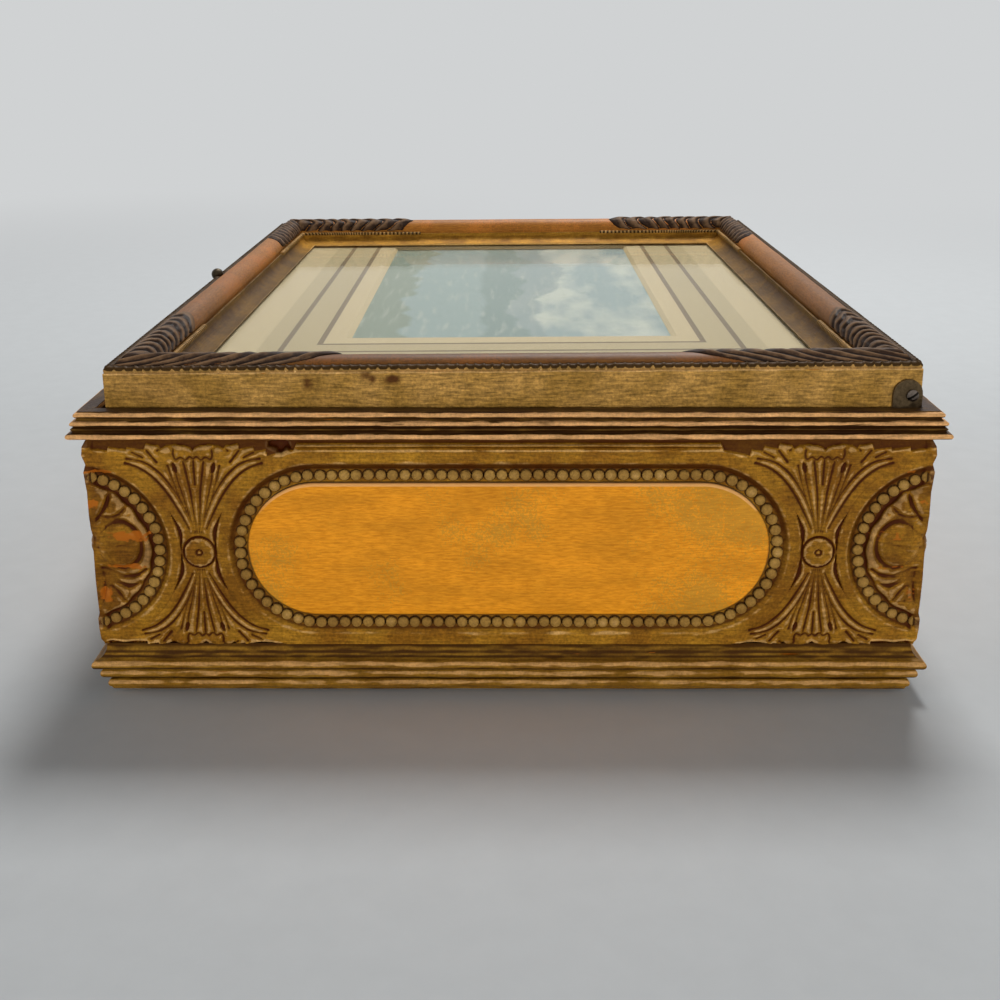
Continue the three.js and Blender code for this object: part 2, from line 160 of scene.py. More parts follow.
def step_up(value, width):
    """0 below zero and 1 above it, with a slope of that width."""
    return smooth(value / width + 0.5)


def bump(distance, width):
    return np.exp(-(distance / width) ** 2)


def wander(x, y, seed, cell_x, cell_y):
    """Smooth seeded noise from -1 to 1 over two directions."""
    cells = 128
    table = np.random.default_rng(seed).uniform(-1, 1, (cells, cells))
    # Moved on by whole tables, so that no index is negative
    u = np.asarray(x) / cell_x + 50 * cells
    v = np.asarray(y) / cell_y + 50 * cells
    i = np.floor(u).astype(int)
    j = np.floor(v).astype(int)
    a = smooth(u - i)
    b = smooth(v - j)
    low = table[i % cells, j % cells] * (1 - a) + table[(i + 1) % cells, j % cells] * a
    high = table[i % cells, (j + 1) % cells] * (1 - a) + table[(i + 1) % cells, (j + 1) % cells] * a
    return low * (1 - b) + high * b


def arc(centre, radius, start, stop, count):
    angles = np.radians(np.linspace(start, stop, count))
    return [(centre[0] + radius * math.cos(a), centre[1] + radius * math.sin(a)) for a in angles]


def spaced(points, gap, closed=True):
    """The outline with points added, so that none is further than gap from the next."""
    corners = list(points) + ([points[0]] if closed else [])
    made = []
    for a, b in zip(corners, corners[1:]):
        length = math.hypot(b[0] - a[0], b[1] - a[1])
        count = max(1, math.ceil(length / gap))
        made += [(a[0] + (b[0] - a[0]) * k / count, a[1] + (b[1] - a[1]) * k / count) for k in range(count)]
    made.append(corners[-1])
    return np.array(made)


def rounded_route(points, count=6):
    """A smooth route through the points."""
    p = np.array([points[0]] + list(points) + [points[-1]], float)
    made = []
    for k in range(1, len(p) - 2):
        for t in np.linspace(0, 1, count, endpoint=False):
            made.append(0.5 * (2 * p[k] + (p[k + 1] - p[k - 1]) * t
                               + (2 * p[k - 1] - 5 * p[k] + 4 * p[k + 1] - p[k + 2]) * t ** 2
                               + (3 * p[k] - p[k - 1] - 3 * p[k + 1] + p[k + 2]) * t ** 3))
    made.append(p[-2])
    return np.array(made)


def route_distance(x, y, route):
    best = np.full(np.shape(x), 1e6)
    for (ax, ay), (bx, by) in zip(route, route[1:]):
        dx = bx - ax
        dy = by - ay
        t = np.clip(((x - ax) * dx + (y - ay) * dy) / (dx * dx + dy * dy + 1e-12), 0, 1)
        best = np.minimum(best, np.hypot(x - ax - t * dx, y - ay - t * dy))
    return best


def softened(values, rounds, wrap_rows):
    """The values after repeated averaging with their neighbours."""
    for _ in range(rounds):
        grown = np.concatenate([values[:1], values, values[-1:]], 0)
        values = (grown[:-2] + 2 * grown[1:-1] + grown[2:]) / 4
        if wrap_rows:
            grown = np.concatenate([values[:, -2:-1], values, values[:, 1:2]], 1)
        else:
            grown = np.concatenate([values[:, :1], values, values[:, -1:]], 1)
        values = (grown[:, :-2] + 2 * grown[:, 1:-1] + grown[:, 2:]) / 4
    return values


def loop_length(loop):
    """Distance along an outline to each of its points."""
    return np.concatenate([[0], np.cumsum(np.linalg.norm(np.diff(loop, axis=0), axis=1))])


def loop_normals(loop):
    """Outward directions of a closed outline that runs anticlockwise, with outward to the right."""
    body = loop[:-1]
    run = np.roll(body, -1, 0) - np.roll(body, 1, 0)
    run /= np.linalg.norm(run, axis=1, keepdims=True) + 1e-12
    turned = np.stack([run[:, 1], -run[:, 0]], -1)
    area = np.sum(body[:, 0] * np.roll(body[:, 1], -1) - np.roll(body[:, 0], -1) * body[:, 1])
    turned *= 1 if area > 0 else -1
    return np.concatenate([turned, turned[:1]])


def pushed(loop, normal, push):
    """The outline's points moved along their normals, alike at the seam where it closes."""
    push[:, -1] = push[:, 0]
    return loop[:, 0] + push * normal[:, 0], loop[:, 1] + push * normal[:, 1]


# Places

def on_side(side, along, out, up):
    """Points of a side that faces the front, turned to their own side by quarter turns."""
    turn, _, depth = SIDES[side]
    x = along
    y = -(depth + out)
    for _ in range(turn):
        x, y = -y, x
    return np.stack([x, y, up], -1)


def on_lid(points):
    """Points of the lid's own frame, set at the lid's place and tilt."""
    y = points[..., 1] + half_width
    up = points[..., 2]
    return np.stack([points[..., 0], lid_front + y * math.cos(lid_tilt) - up * math.sin(lid_tilt),
                     lid_bottom + y * math.sin(lid_tilt) + up * math.cos(lid_tilt)], -1)


def along_rail(side, end, from_corner, out, up):
    """Points on a lid's rail by their distance from a corner, drawn to the mitre near it."""
    pull = 1 - smooth(from_corner / 45)
    along = (SIDES[side][1] - from_corner + pull * out - seam / 2) * end
    return on_lid(on_side(side, along, out, up))


def mitred(side, along0, out, out0, up, middle):
    """Points of a mitred length: near its ends each point moves along by how far out it is."""
    from_end = SIDES[side][1] + middle - np.abs(along0)[:, None]
    reach = np.maximum(3, 3 * np.abs(out0 - middle))
    pull = 1 - smooth(from_end / reach)
    along = along0[:, None] + np.sign(along0)[:, None] * (pull * (out - middle) - seam / 2)
    return along, on_side(side, along, out, up)


# Mesh work

def clear_selection():
    if bpy.context.object and bpy.context.object.mode != "OBJECT":
        bpy.ops.object.mode_set(mode="OBJECT")
    bpy.ops.object.select_all(action="DESELECT")


def select_only(*pieces):
    """Selects these pieces and nothing else, the first one active."""
    clear_selection()
    for piece in pieces:
        piece.select_set(True)
    bpy.context.view_layer.objects.active = pieces[0]


def edit_all(piece):
    """Opens one piece in edit mode, all of it selected."""
    select_only(piece)
    bpy.ops.object.mode_set(mode="EDIT")
    bpy.ops.mesh.select_mode(type="VERT")
    bpy.ops.mesh.select_all(action="SELECT")


def end_edit(angle=None):
    """Turns every face outward, leaves edit mode and shades smooth up to an angle in degrees."""
    bpy.ops.mesh.select_all(action="SELECT")
    bpy.ops.mesh.normals_make_consistent(inside=False)
    bpy.ops.object.mode_set(mode="OBJECT")
    if angle:
        bpy.ops.object.shade_smooth_by_angle(angle=math.radians(angle))


def named(piece, name):
    piece.name = name
    piece.data.name = name
    return piece


def joined(name, parts):
    select_only(*parts)
    bpy.ops.object.join()
    return named(bpy.context.object, name)


def grid(name, columns, rows):
    """A grid primitive, with the column and the row that each of its vertices stands in."""
    clear_selection()
    bpy.ops.mesh.primitive_grid_add(x_subdivisions=columns - 1, y_subdivisions=rows - 1, size=2)
    piece = named(bpy.context.object, name)
    count = len(piece.data.vertices)
    if count != columns * rows:
        raise RuntimeError(f"{name}: the grid has {count} vertices, not {columns * rows}")
    start = np.zeros(count * 3, np.float32)
    piece.data.vertices.foreach_get("co", start)
    start = start.reshape(-1, 3)
    i = np.rint((start[:, 0] + 1) / 2 * (columns - 1)).astype(int)
    j = np.rint((start[:, 1] + 1) / 2 * (rows - 1)).astype(int)
    return piece, i, j


def move_to(piece, points):
    piece.data.vertices.foreach_set("co", points.astype(np.float32).ravel())


def mark(piece, key, values):
    """One number at each vertex, which the finishes read as relief, as dirt and painted shade, or as bare
    wood.
    """
    attribute = piece.data.attributes.new(key, "FLOAT", "POINT")
    attribute.data.foreach_set("value", values.astype(np.float32))


def sheet(name, points, uv, values=None, finish_of_row=None, angle=50):
    """A grid moved to the given columns and rows of points, with its seams and ends closed."""
    piece, i, j = grid(name, *points.shape[:2])
    mesh = piece.data
    move_to(piece, points[i, j] / 1000)
    corner = np.zeros(len(mesh.loops), np.int32)
    mesh.loops.foreach_get("vertex_index", corner)
    layer = mesh.uv_layers.active or mesh.uv_layers.new(name="UVMap")
    layer.data.foreach_set("uv", (uv[i[corner], j[corner]] / 1000).astype(np.float32).ravel())
    for key, value in (values or {}).items():
        mark(piece, key, value[i, j])
    if finish_of_row is not None:
        row = j[corner].reshape(-1, 4).min(1)
        mesh.polygons.foreach_set("material_index", np.asarray(finish_of_row)[row].astype(np.int32))
    mesh.update()
    edit_all(piece)
    bpy.ops.mesh.remove_doubles(threshold=2e-6)
    bpy.ops.mesh.fill_holes(sides=0)
    end_edit(angle)
    return piece


def paint(piece, *finishes):
    """Gives a piece its finish. Clearing would reset the rows' finishes, so it is done for one alone."""
    if len(finishes) == 1:
        piece.data.materials.clear()
    for finish in finishes:
        piece.data.materials.append(finish)


def dress(piece, body, slot, *finishes):
    paint(piece, *finishes)
    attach(piece, body)
    return piece


def moulding(name, side, loop, middle, stray, seed, chips, lid=False, finish_of_row=None, tones=None):
    """A mitred moulding swept along one side, with the slight waviness and chips of handwork."""
    run = SIDES[side][1]
    normal = loop_normals(loop)
    length = loop_length(loop)
    count = int(2 * (run + middle) / moulding_step)
    along0 = np.linspace(-(run + middle), run + middle, count + count % 2)
    s, v = np.meshgrid(along0, length, indexing="ij")
    push = stray * wander(s, v, seed, 15, 4) + 0.4 * stray * wander(s, v, seed + 1, 3, 1.5)
    random = np.random.default_rng(seed + 2)
    bare = np.zeros(s.shape)
    for _ in range(int(chips * run / 50)):
        at = random.uniform(-run + 6, run - 6)
        row = random.choice(np.flatnonzero(normal[:, 0] > 0.75))
        wide = random.uniform(1.2, 4.5)
        tall = random.uniform(0.15, 0.35)
        chip = bump(s - at, wide) * bump(v - length[row], tall)
        push = push - random.uniform(0.1, 0.35) * chip
        bare = np.maximum(bare, 0.62 * chip)
    out, up = pushed(loop, normal, push * smooth((run + middle - np.abs(s)) / 6))
    raised_out = out - softened(out, 10, True)
    raised_up = up - softened(up, 10, True)
    relief = raised_out * normal[:, 0] + raised_up * normal[:, 1]
    hollow = np.zeros(s.shape)
    # Given tones take the place of the relief: worn crests, dirt and painted shade
    if tones:
        uneven = 0.08 * wander(s, v, seed + 4, 9, 3) + 0.06 * wander(s, v, seed + 5, 2.2, 0.8)
        tone = np.interp(loop[:, 1] + uneven, *zip(*tones)) * (loop[:, 0] > 1)
        relief = tone + 0.09 * wander(s, v, seed + 6, 4, 0.7)
    if lid and side == "right":
        for at, high, wide, tall, deep in lid_knocks:
            knock = bump(s - at, wide) * bump(loop[:, 1] - high, tall) * (loop[:, 0] > -0.4)
            hollow = np.minimum(hollow, -deep * knock)
    along, points = mitred(side, along0, out, loop[:, 0], up, middle)
    if lid:
        points = on_lid(points)
    uv = np.stack([along, v + 0 * along], -1)
    return sheet(name, points, uv, {"relief": relief, "bare": bare, "hollow": hollow}, finish_of_row)


# Carved ornament of the side boards

top_edge = [(-1, 68.9), (0, 68.7), (6, 67.9), (6.2, 68.7), (10.8, 68.1), (11, 68.5), (15.3, 67.9), (16, 69.6),
            (19.3, 69.0), (19.7, 68.4), (21, 69.1), (23.5, 69.4), (26, 69.1), (27.4, 68.5), (27.85, 67.9),
            (28.3, 68.5), (29.7, 69.1), (32, 69.4), (34.5, 69.1), (35.8, 68.4), (36.2, 69.0), (39.5, 69.6),
            (39.9, 68.2), (43.4, 68.8), (43.7, 67.5), (46.6, 68.0), (47, 66.4), (50, 67.2), (53.6, 67.9),
            (54.5, 69.7), (400, 69.7)]
foot_edge = [(-1, 15.0), (3, 15.3), (6, 14.8), (9, 15.2), (12, 15.0), (12.3, 14.2), (15, 14.6), (15.3, 14.0),
             (18, 14.6), (19, 15.0), (21, 14.3), (24, 14.1), (27, 14.5), (27.85, 15.2), (28.7, 14.5),
             (31.5, 14.1), (34.5, 14.3), (35.5, 15.0), (35.8, 14.2), (38.2, 14.6), (38.5, 14.2),
             (41, 14.7), (44, 14.9), (50, 14.2), (400, 14.2)]
arris_out = [(14.8, 3.9), (16, 4.5), (19, 4.7), (22, 4.75), (23.5, 4.35), (27, 4.45), (33, 4.5), (38, 4.4),
             (42, 4.35), (44.5, 4.1), (47, 4.45), (51, 4.6), (57, 4.5), (60, 4.7), (62.5, 4.85), (64.5, 4.3),
             (67, 4.95), (69.3, 4.7), (70.6, 4.0), (71.55, 3.4)]
# Grooves of the half palmette, [distance across from its axis, height over the rosette]
palmette = [
    [(0.35, 5.5), (0.9, 11.5), (1.3, 16.5), (1.9, 20.5), (2.6, 24.6)],
    [(0, 18.5), (0, 24.8)],
    [(1.6, 8.5), (3.2, 15), (4.4, 19.5), (4.9, 23)],
    [(0.9, 5.5), (2.1, 9.5), (4.3, 14.8), (7.2, 19.5), (10.3, 22.8), (13.3, 24.6), (17, 25.3)],
    [(2.2, 6.5), (4.4, 11), (7.2, 16), (10.2, 19.9), (13.8, 22.8), (17.5, 24.2)],
    [(0, 25.2), (0.9, 25.8), (2, 25.0), (3.2, 25.7), (4.5, 25.2), (5.0, 26.6), (5.0, 27.9), (6.2, 28.8),
     (7.8, 28.5), (9, 27.6)],
    [(3.9, 14), (5.6, 19.5), (6.6, 23.5)],
    [(11.8, 27.5), (9.5, 24.5)],
    [(15.5, 27), (13, 25.6)],
]


def palmette_depth(across, height):
    depth = np.zeros(np.shape(across))
    wide = np.zeros(np.shape(across))
    for points in palmette:
        d = route_distance(across, height, rounded_route(points))
        depth = np.maximum(depth, 0.42 * bump(d, 0.42))
        wide = np.maximum(wide, 0.36 * bump(d, 1.15))
    eye_x = (across - 5) * math.cos(0.26) - (height - 23) * math.sin(0.26)
    eye_y = (across - 5) * math.sin(0.26) + (height - 23) * math.cos(0.26)
    eye = 0.7 * step_up(1 - np.hypot(eye_x / 0.6, eye_y / 1.6), 0.5)
    body = 0.22 * step_up(height - 5, 3) * bump(across - (0.6 + 0.2 * height), 4.5)
    cord = 0.2 * bump(route_distance(across, height, rounded_route(
        [(1.5, 6), (3.2, 10.2), (5.7, 15.4), (8.7, 19.7), (12, 22.8), (15.4, 24.4)])), 0.7)
    return np.maximum(depth, eye) + wide - body - cord


# Edges between the petals of the corner flower, [distance beside, height over its centre]
petal_edges = [
    [(8.8, 16.2), (7.4, 12.6), (5.6, 9.6), (3.4, 8.2)],
    [(13.2, 13.0), (10.8, 10.2), (8.0, 9.2), (5.6, 9.6)],
    [(16.4, -5.4), (12.8, -7.4), (9.2, -7.0), (5.8, -5.0), (3, -4.8)],
    [(14.8, -8.8), (11.6, -10.0), (8.6, -8.6), (5.6, -6.6), (3.2, -6.4)],
    [(10.4, -14.2), (8.6, -11.6), (6, -8.6)],
    [(3, -16.6), (4.4, -12.6), (5.2, -9.4)],
]
# Swells between them: the middle's two places, half the size both ways, and height
petal_swells = [(5.0, 12.6, 3.0, 4.4, 0.5), (11.4, 12.4, 3.4, 2.6, 0.45), (4.6, 6.2, 2.2, 2.4, 0.4),
                (12.6, -8.2, 3.4, 1.2, 0.5), (8.6, -11.6, 3.0, 2.6, 0.5), (4.6, -13.0, 2.4, 4.0, 0.5)]


def medallion_out(beside, height):
    """Relief of the flower that wraps the corner, beside and above the medallion's centre."""
    r = np.hypot(beside, height)
    angle = np.arctan2(height, beside)
    rim = 18.3 - 0.5 * np.abs(np.sin(angle * 2.6)) ** 2 + 0.15 * np.cos(angle * 19)
    level = 4.15 + 0.35 * bump(r - rim + 1.3, 1.3) - 0.25 * bump(r - 9, 4)
    # Fine rays, one set below and a plainer one above
    rays = np.cos(angle * 34 + 1.5 * np.sin(r * 0.5))
    level += 0.09 * rays * smooth((r - 6) / 4) * step_up(-height - 4, 2)
    level += 0.07 * np.cos(angle * 22) * smooth((r - 8) / 4) * step_up(height - 6, 2)
    level += 0.25 * step_up(4.7 - np.abs(height - 0.4), 1.2) * smooth((r - 4) / 3)
    level += 0.3 * wander(beside, height, 77, 6, 4) * smooth((r - 4) / 3)
    # The round boss beside the corner, its hollow and the lip round it
    boss = np.hypot(beside - 10.2, (height - 1.6) / 1.1)
    beyond = np.clip((beside - 8) / 4, 0, 1) + np.clip(np.abs(height - 1.6) / 5 - 0.6, 0, 1)
    free = np.clip((beside - 6.5) / 3, 0, 1)
    level += 0.9 * np.sqrt(np.clip(1 - (boss / 5.3) ** 2, 0, 1)) - 0.55 * bump(boss - 5.9, 0.8) * free
    level += 0.7 * bump(height - 1.4, 4.2) * step_up(9 - beside, 3)
    level -= 0.3 * bump(height - 1.4 - 0.1 * (beside - 8), 0.4) * step_up(13.5 - beside, 2)
    level += 0.5 * bump(boss - 7.5, 1.1) * np.clip(beyond, 0, 1) * step_up(height + 6, 2)
    for x, z, wide, tall, high in petal_swells:
        swell = np.clip(1 - ((beside - x) / wide) ** 2 - ((height - z) / tall) ** 2, 0, 1)
        level += high * np.sqrt(swell)
    cuts = [bump(route_distance(beside, height, rounded_route(points)), 0.7) for points in petal_edges]
    level -= 0.85 * np.maximum.reduce(cuts)
    level = np.maximum(level, 3.6 + 1.1 * np.sqrt(np.clip(1 - (r / 4.6) ** 2, 0, 1)))
    return channel_out + (level - channel_out) * step_up(rim - r, 0.6)


def from_rings(inward, up):
    """Distances from the oval's middle line and from the medallion's centre."""
    return (np.hypot(np.maximum(oval_end - inward, 0), up - middle_up),
            np.hypot(inward + medallion_beyond, up - medallion_up))


def board_relief(inward, up, seed, gouge):
    """How far out the carved face stands, by distance in from the corner and height."""
    top = np.interp(inward, *zip(*top_edge))
    foot = np.interp(inward, *zip(*foot_edge))
    oval, centre = from_rings(inward, up)
    across = np.abs(inward - rosette_in)
    height = up - rosette_up
    upper = palmette_depth(across, height)
    lower = palmette_depth(across / 0.95, -height / 0.92)
    outside = step_up(oval - bead_ring - channel_half - 0.6, 1) * (inward < oval_end - 8)
    outside = outside * step_up(centre - medallion_ring - medallion_half - 0.6, 1)
    carved = field_out - np.where(height > 0, upper, lower) * outside
    # Slits beside the rosette, along the two ring borders
    slit = 1.05 * bump(np.abs(height) - 5.6, 3.3)
    for round_in, round_radius in ((centre, 26.0), (np.hypot(inward - oval_end, up - middle_up), 26.7)):
        beyond = round_in - round_radius
        wedge = step_up(beyond, 0.3) * step_up(slit - beyond, 0.3) * (np.abs(height) < 11.5)
        thin = 0.22 * bump(beyond, 0.28) * smooth((24 - np.abs(height)) / 5)
        carved -= np.maximum(0.8 * wedge, thin) * (across < 22)
    rosette = np.hypot(inward - rosette_in, height)
    lobes = np.cos(8 * np.arctan2(height, inward - rosette_in))
    dome = 4.7 - 0.3 * (rosette / rosette_radius) ** 3 - 0.9 * step_up(1.0 - rosette, 0.3)
    dome = dome + 0.75 * step_up(0.5 - rosette, 0.3) + 0.06 * lobes * smooth((rosette - 1.4) / 1.2)
    carved -= 0.6 * bump(rosette - rosette_radius - 0.3, 0.35)
    carved = np.where(rosette < rosette_radius, np.maximum(carved, dome), carved)
    # Bead channels, scooped on their outer side, and the seat of the oval
    carved += 0.1 * bump(oval - bead_ring - 3.6, 0.6) + 0.1 * bump(centre - medallion_ring - 3.5, 0.6)
    for beyond, slope in ((oval - bead_ring, 1.7), (centre - medallion_ring, 1.6)):
        ring = 1 - smooth((beyond - 1.5) / slope)
        carved = carved * (1 - ring) + channel_out * ring
    flower = step_up(medallion_ring - 1.35 - centre, 0.4)
    carved = carved * (1 - flower) + medallion_out(inward + medallion_beyond, up - medallion_up) * flower
    carved += 0.05 * wander(inward, up, seed, 5, 3) + 0.03 * wander(inward, up, seed + 1, 1.6, 0.7)
    # The lip and its shadow line along the plain top edge between the palmettes
    plain = smooth((inward - 52) / 3)
    carved += plain * (0.32 * bump(up - 68.05, 0.45) - 0.42 * bump(up - 68.9, 0.28))
    inside = step_up(up - foot, 0.5) * step_up(top - up, 0.5)
    ground = np.where(up > 40, 3.55 - 0.2 * (up - 68), ground_out)
    carved = ground + (carved - ground) * inside
    arris = 1 - smooth((inward - 0.2) / 1.8)
    carved = carved * (1 - arris) + np.interp(up, *zip(*arris_out)) * arris
    if gouge is not None:
        rough = 1 + 0.35 * wander(inward, up, seed + 3, 1.2, 1.2)
        carved -= 1.9 * step_up(rough - np.hypot((inward - 50.2) / 2.9, (up - 69.3) / 1.5), 0.4) * gouge
    return carved


def board_dirt_and_shade(inward, up, seed):
    """Dirt and painted shade in the bead channels, over the flower and the palmettes, and beyond the jagged
    edges. Painted shade darkens the channels' outer walls more towards the top, and the strips above and
    below the carving.
    """
    oval, flower = from_rings(inward, up)
    rising = (up - middle_up) / np.maximum(oval, 1)
    mottled = 0.2 + 0.14 * wander(inward, up, seed + 9, 2.6, 2.6)
    above = up - np.interp(inward, *zip(*top_edge))
    below = np.interp(inward, *zip(*foot_edge)) - up
    return np.maximum.reduce([
        (0.34 + 0.4 * rising) * bump(oval - bead_ring - 2.3, 0.85),
        (0.3 + 0.3 * (up - medallion_up) / 20) * bump(flower - medallion_ring - 2.2, 0.8),
        0.45 * bump(flower - medallion_ring + 1.75, 0.35),
        0.5 * bump(oval - bead_ring, 1.4),
        0.5 * bump(flower - medallion_ring, 1.4),
        mottled * step_up(medallion_ring - 1.6 - flower, 0.4),
        0.16 * bump(inward - rosette_in, 22),
        0.6 * smooth((above - 0.1) / 0.5),
        0.5 * smooth((below - 0.1) / 0.4),
    ])


def carved_board(side, seed):
    reach = SIDES[side][1] + corner_out
    # Columns every 0.3 mm over the carving and every 4 mm between
    end = np.arange(0, 62, 0.3)
    inner = reach - end[-1]
    middle = np.linspace(-inner, inner, int(2 * inner / 4))
    along0 = np.concatenate([-(reach - end), middle[1:-1], (reach - end)[::-1]])
    face = np.linspace(board_low, board_top, 191)
    hidden = [(-1.0, board_top), (board_inner, board_top), (board_inner, 43), (board_inner, board_low),
              (-1.0, board_low)]
    out0 = np.concatenate([np.full(len(face), field_out), [p[0] for p in hidden], [field_out]])
    up0 = np.concatenate([face, [p[1] for p in hidden], [board_low]])
    inward = reach - np.abs(along0)[:, None] + 0 * up0
    up = up0 + 0 * inward
    flipped = side == "right"
    out = board_relief(inward, up, seed, (along0 < 0)[:, None] if flipped else None)
    rows = len(face)
    out[:, rows:-1] = out0[rows:-1]
    out[:, -1] = out[:, 0]
    relief = np.zeros(out.shape)
    hollow = np.zeros(out.shape)
    relief[:, :rows] = out[:, :rows] - softened(out[:, :rows], 10, False)
    # Painted shade in broad recesses: the face less its heavily softened self, joined with the board's dirt
    # and painted shade
    hollow[:, :rows] = out[:, :rows] - softened(out[:, :rows], 60, False)
    hollow[:, :rows] = np.minimum(hollow, -board_dirt_and_shade(inward, up, seed))[:, :rows]
    # Rubbed places on the corner flower, where the bare wood shows
    bare = np.zeros(out.shape)
    chance = np.random.default_rng(seed + 5)
    for high_end in (False, True):
        wear = 1.15 if high_end != flipped else chance.uniform(0.45, 0.75)
        for beside, height, wide, tall in ((13, 4.1, 5.5, 1.3), (12, -4.6, 5, 0.7), (4.6, 13.5, 2.6, 1.3),
                                           (5, -12, 1.8, 2.4), (7, 21.6, 4, 0.5)):
            x = inward + medallion_beyond - beside - chance.uniform(-1, 1)
            z = up - medallion_up - height - chance.uniform(-0.5, 0.5)
            spot = wear * bump(np.hypot(x / wide, z / tall), 1)
            bare = np.maximum(bare, spot * ((along0 > 0) == high_end)[:, None])
    bare = bare + 0.35 * wander(inward, up, seed + 7, 0.8, 0.6) * (bare > 0.1)
    shown = np.where(np.arange(len(out0)) < rows, corner_out, out0)
    along, points = mitred(side, along0, out, shown, up, corner_out)
    return sheet(f"carved_board_{side}", points, np.stack([along, up], -1),
                 {"relief": relief, "hollow": hollow, "bare": bare}, angle=70)


def oval_inlay(side):
    """The flat oval with softened edges, set in the middle of a board."""
    turn, run, _ = SIDES[side]
    half = run + corner_out - oval_end
    # Once round it: a place along the middle line, and the direction out of it
    around = []
    for end in (1, -1):
        around += [(k * end, 0, -end) for k in np.linspace(-half, half, 24, endpoint=False)]
        around += [(half * end, end * math.cos(a), end * math.sin(a))
                   for a in np.radians(np.linspace(-90, 90, 40, endpoint=False))]
    around = np.array(around + around[:1])
    # Nearly flat to its softened edge, then down into the board
    profile = [(r, oval_face - 0.05 * (r / 17) ** 2) for r in (0, 4, 8, 12, 15.5)]
    profile += arc((oval_radius - 1.1, 3.47), 1.1, 88, 0, 8) + [(oval_radius, 3.0)]
    radius, level = np.array(profile).T
    along = around[:, :1] + around[:, 1:2] * radius
    up = middle_up + around[:, 2:] * radius
    out = level + 0.05 * wander(along, up, 77 + turn, 22, 9) * (radius < 17)
    rising = (up - middle_up) / oval_radius
    # The upper part of the edge bare, as wear and as a painted highlight, and the lower part darkened as
    # painted shade
    edge = smooth((radius - oval_radius + 1.15) / 0.5)
    worn = edge * smooth(1.6 * rising - 0.5 + 0.3 * wander(along, up, 91 + turn, 9, 8))
    relief = level - 4.6 - 0.5 * edge * smooth(0.6 - 1.2 * rising)
    for values in (out, worn, relief):
        values[-1] = values[0]
    return sheet(f"oval_{side}", on_side(side, along, out, up), np.stack([along, up], -1),
                 {"relief": relief, "bare": worn})


def bead_places(run, sizes):
    """Centres of the beads of one board, as distance along and height."""
    pitch = sizes.bead_pitch * 1000
    half = run + corner_out - oval_end
    half_lap = 2 * half + math.pi * bead_ring
    count = round(2 * half_lap / pitch)
    places = []
    for k in range(count):
        at = k * 2 * half_lap / count
        sign = 1 if at < half_lap else -1
        at = at % half_lap
        if at < 2 * half:
            place = (at - half, -bead_ring)
        else:
            turn = (at - 2 * half) / bead_ring - math.pi / 2
            place = (half + bead_ring * math.cos(turn), bead_ring * math.sin(turn))
        places.append((sign * place[0], middle_up + sign * place[1]))
    centre = run + corner_out + medallion_beyond
    step = pitch * 0.99 / medallion_ring
    for k in range(-12, 13):
        inward = medallion_ring * math.cos(k * step) - medallion_beyond
        if inward > 1.2:
            for sign in (-1, 1):
                places.append((sign * (centre - medallion_ring * math.cos(k * step)),
                               medallion_up + medallion_ring * math.sin(k * step)))
    return places


def bead_rows(side, sizes, seed):
    """Every bead of one board: one low dome, copied to each place and joined."""
    random = np.random.default_rng(seed)
    radius = sizes.bead_radius * 1000
    clear_selection()
    bpy.ops.mesh.primitive_uv_sphere_add(segments=12, ring_count=8, radius=1)
    master = bpy.context.object
    edit_all(master)
    bpy.ops.mesh.bisect(plane_co=(0, 0, -0.3), plane_no=(0, 0, 1), clear_inner=True, use_fill=True)
    bpy.ops.object.mode_set(mode="OBJECT")
    # A squarer dome over a skirt that is let into the channel
    form = np.array([v.co for v in master.data.vertices])
    skirt = form[:, 2] < -0.05
    form[:, 2] = np.where(skirt, -1, np.abs(form[:, 2]) ** 0.35)
    form[skirt, :2] *= 1.25
    # Painted shade: the relief falls towards the bead's foot, so its lower part and skirt are darkened
    shade = np.where(skirt, -0.5, 0.5 * form[:, 2] - 0.38)
    copies = []
    for along, up in bead_places(SIDES[side][1], sizes):
        copy = master.copy()
        copy.data = master.data.copy()
        bpy.context.collection.objects.link(copy)
        turned = random.uniform(0, 2 * math.pi)
        size = radius * random.uniform(0.93, 1.03)
        x = form[:, 0] * math.cos(turned) - form[:, 1] * math.sin(turned)
        z = form[:, 0] * math.sin(turned) + form[:, 1] * math.cos(turned)
        tall = 1.3 + random.uniform(-0.12, 0.08)
        x = along + random.normal(0, 0.05) + size * x
        z = up + random.normal(0, 0.05) + size * z
        out = channel_out + np.where(skirt, 0.04, tall * form[:, 2])
        move_to(copy, on_side(side, x, out, z) / 1000)
        mark(copy, "relief", shade + random.uniform(-0.03, 0.03))
        copies.append(copy)
    bpy.data.objects.remove(master)
    piece = joined(f"beads_{side}", copies)
    edit_all(piece)
    end_edit(60)
    return piece


# Outlines and tones of the mouldings

# Worn crests, dirty hollows and painted shade, as height and tone: over 0.2 is rubbed bare, under -0.2 is
# dark. The dark on the rim's top is the lid's painted shadow, and the dark at the base's foot painted shade
base_tones = [(0.8, -0.2), (1.2, -0.06), (2.2, -0.02), (2.6, 0.08), (3.0, 0.18), (3.5, 0.2), (3.8, 0.0),
              (3.95, -0.22), (5.1, -0.22), (5.3, -0.1), (5.6, 0.02), (6.0, 0.1), (6.4, 0.18), (6.9, 0.2),
              (7.1, 0.06), (7.35, -0.06), (8.4, -0.2), (8.8, -0.16), (9.0, 0.04), (9.5, 0.16),
              (9.85, 0.3), (10.2, 0.26), (10.35, 0.02), (10.6, -0.05), (10.8, -0.08), (10.95, -0.24),
              (11.2, -0.22), (11.4, -0.12), (11.65, -0.11), (11.9, -0.22), (12.3, -0.22), (12.6, -0.11),
              (13.2, -0.11), (13.5, -0.2), (14.4, -0.26)]
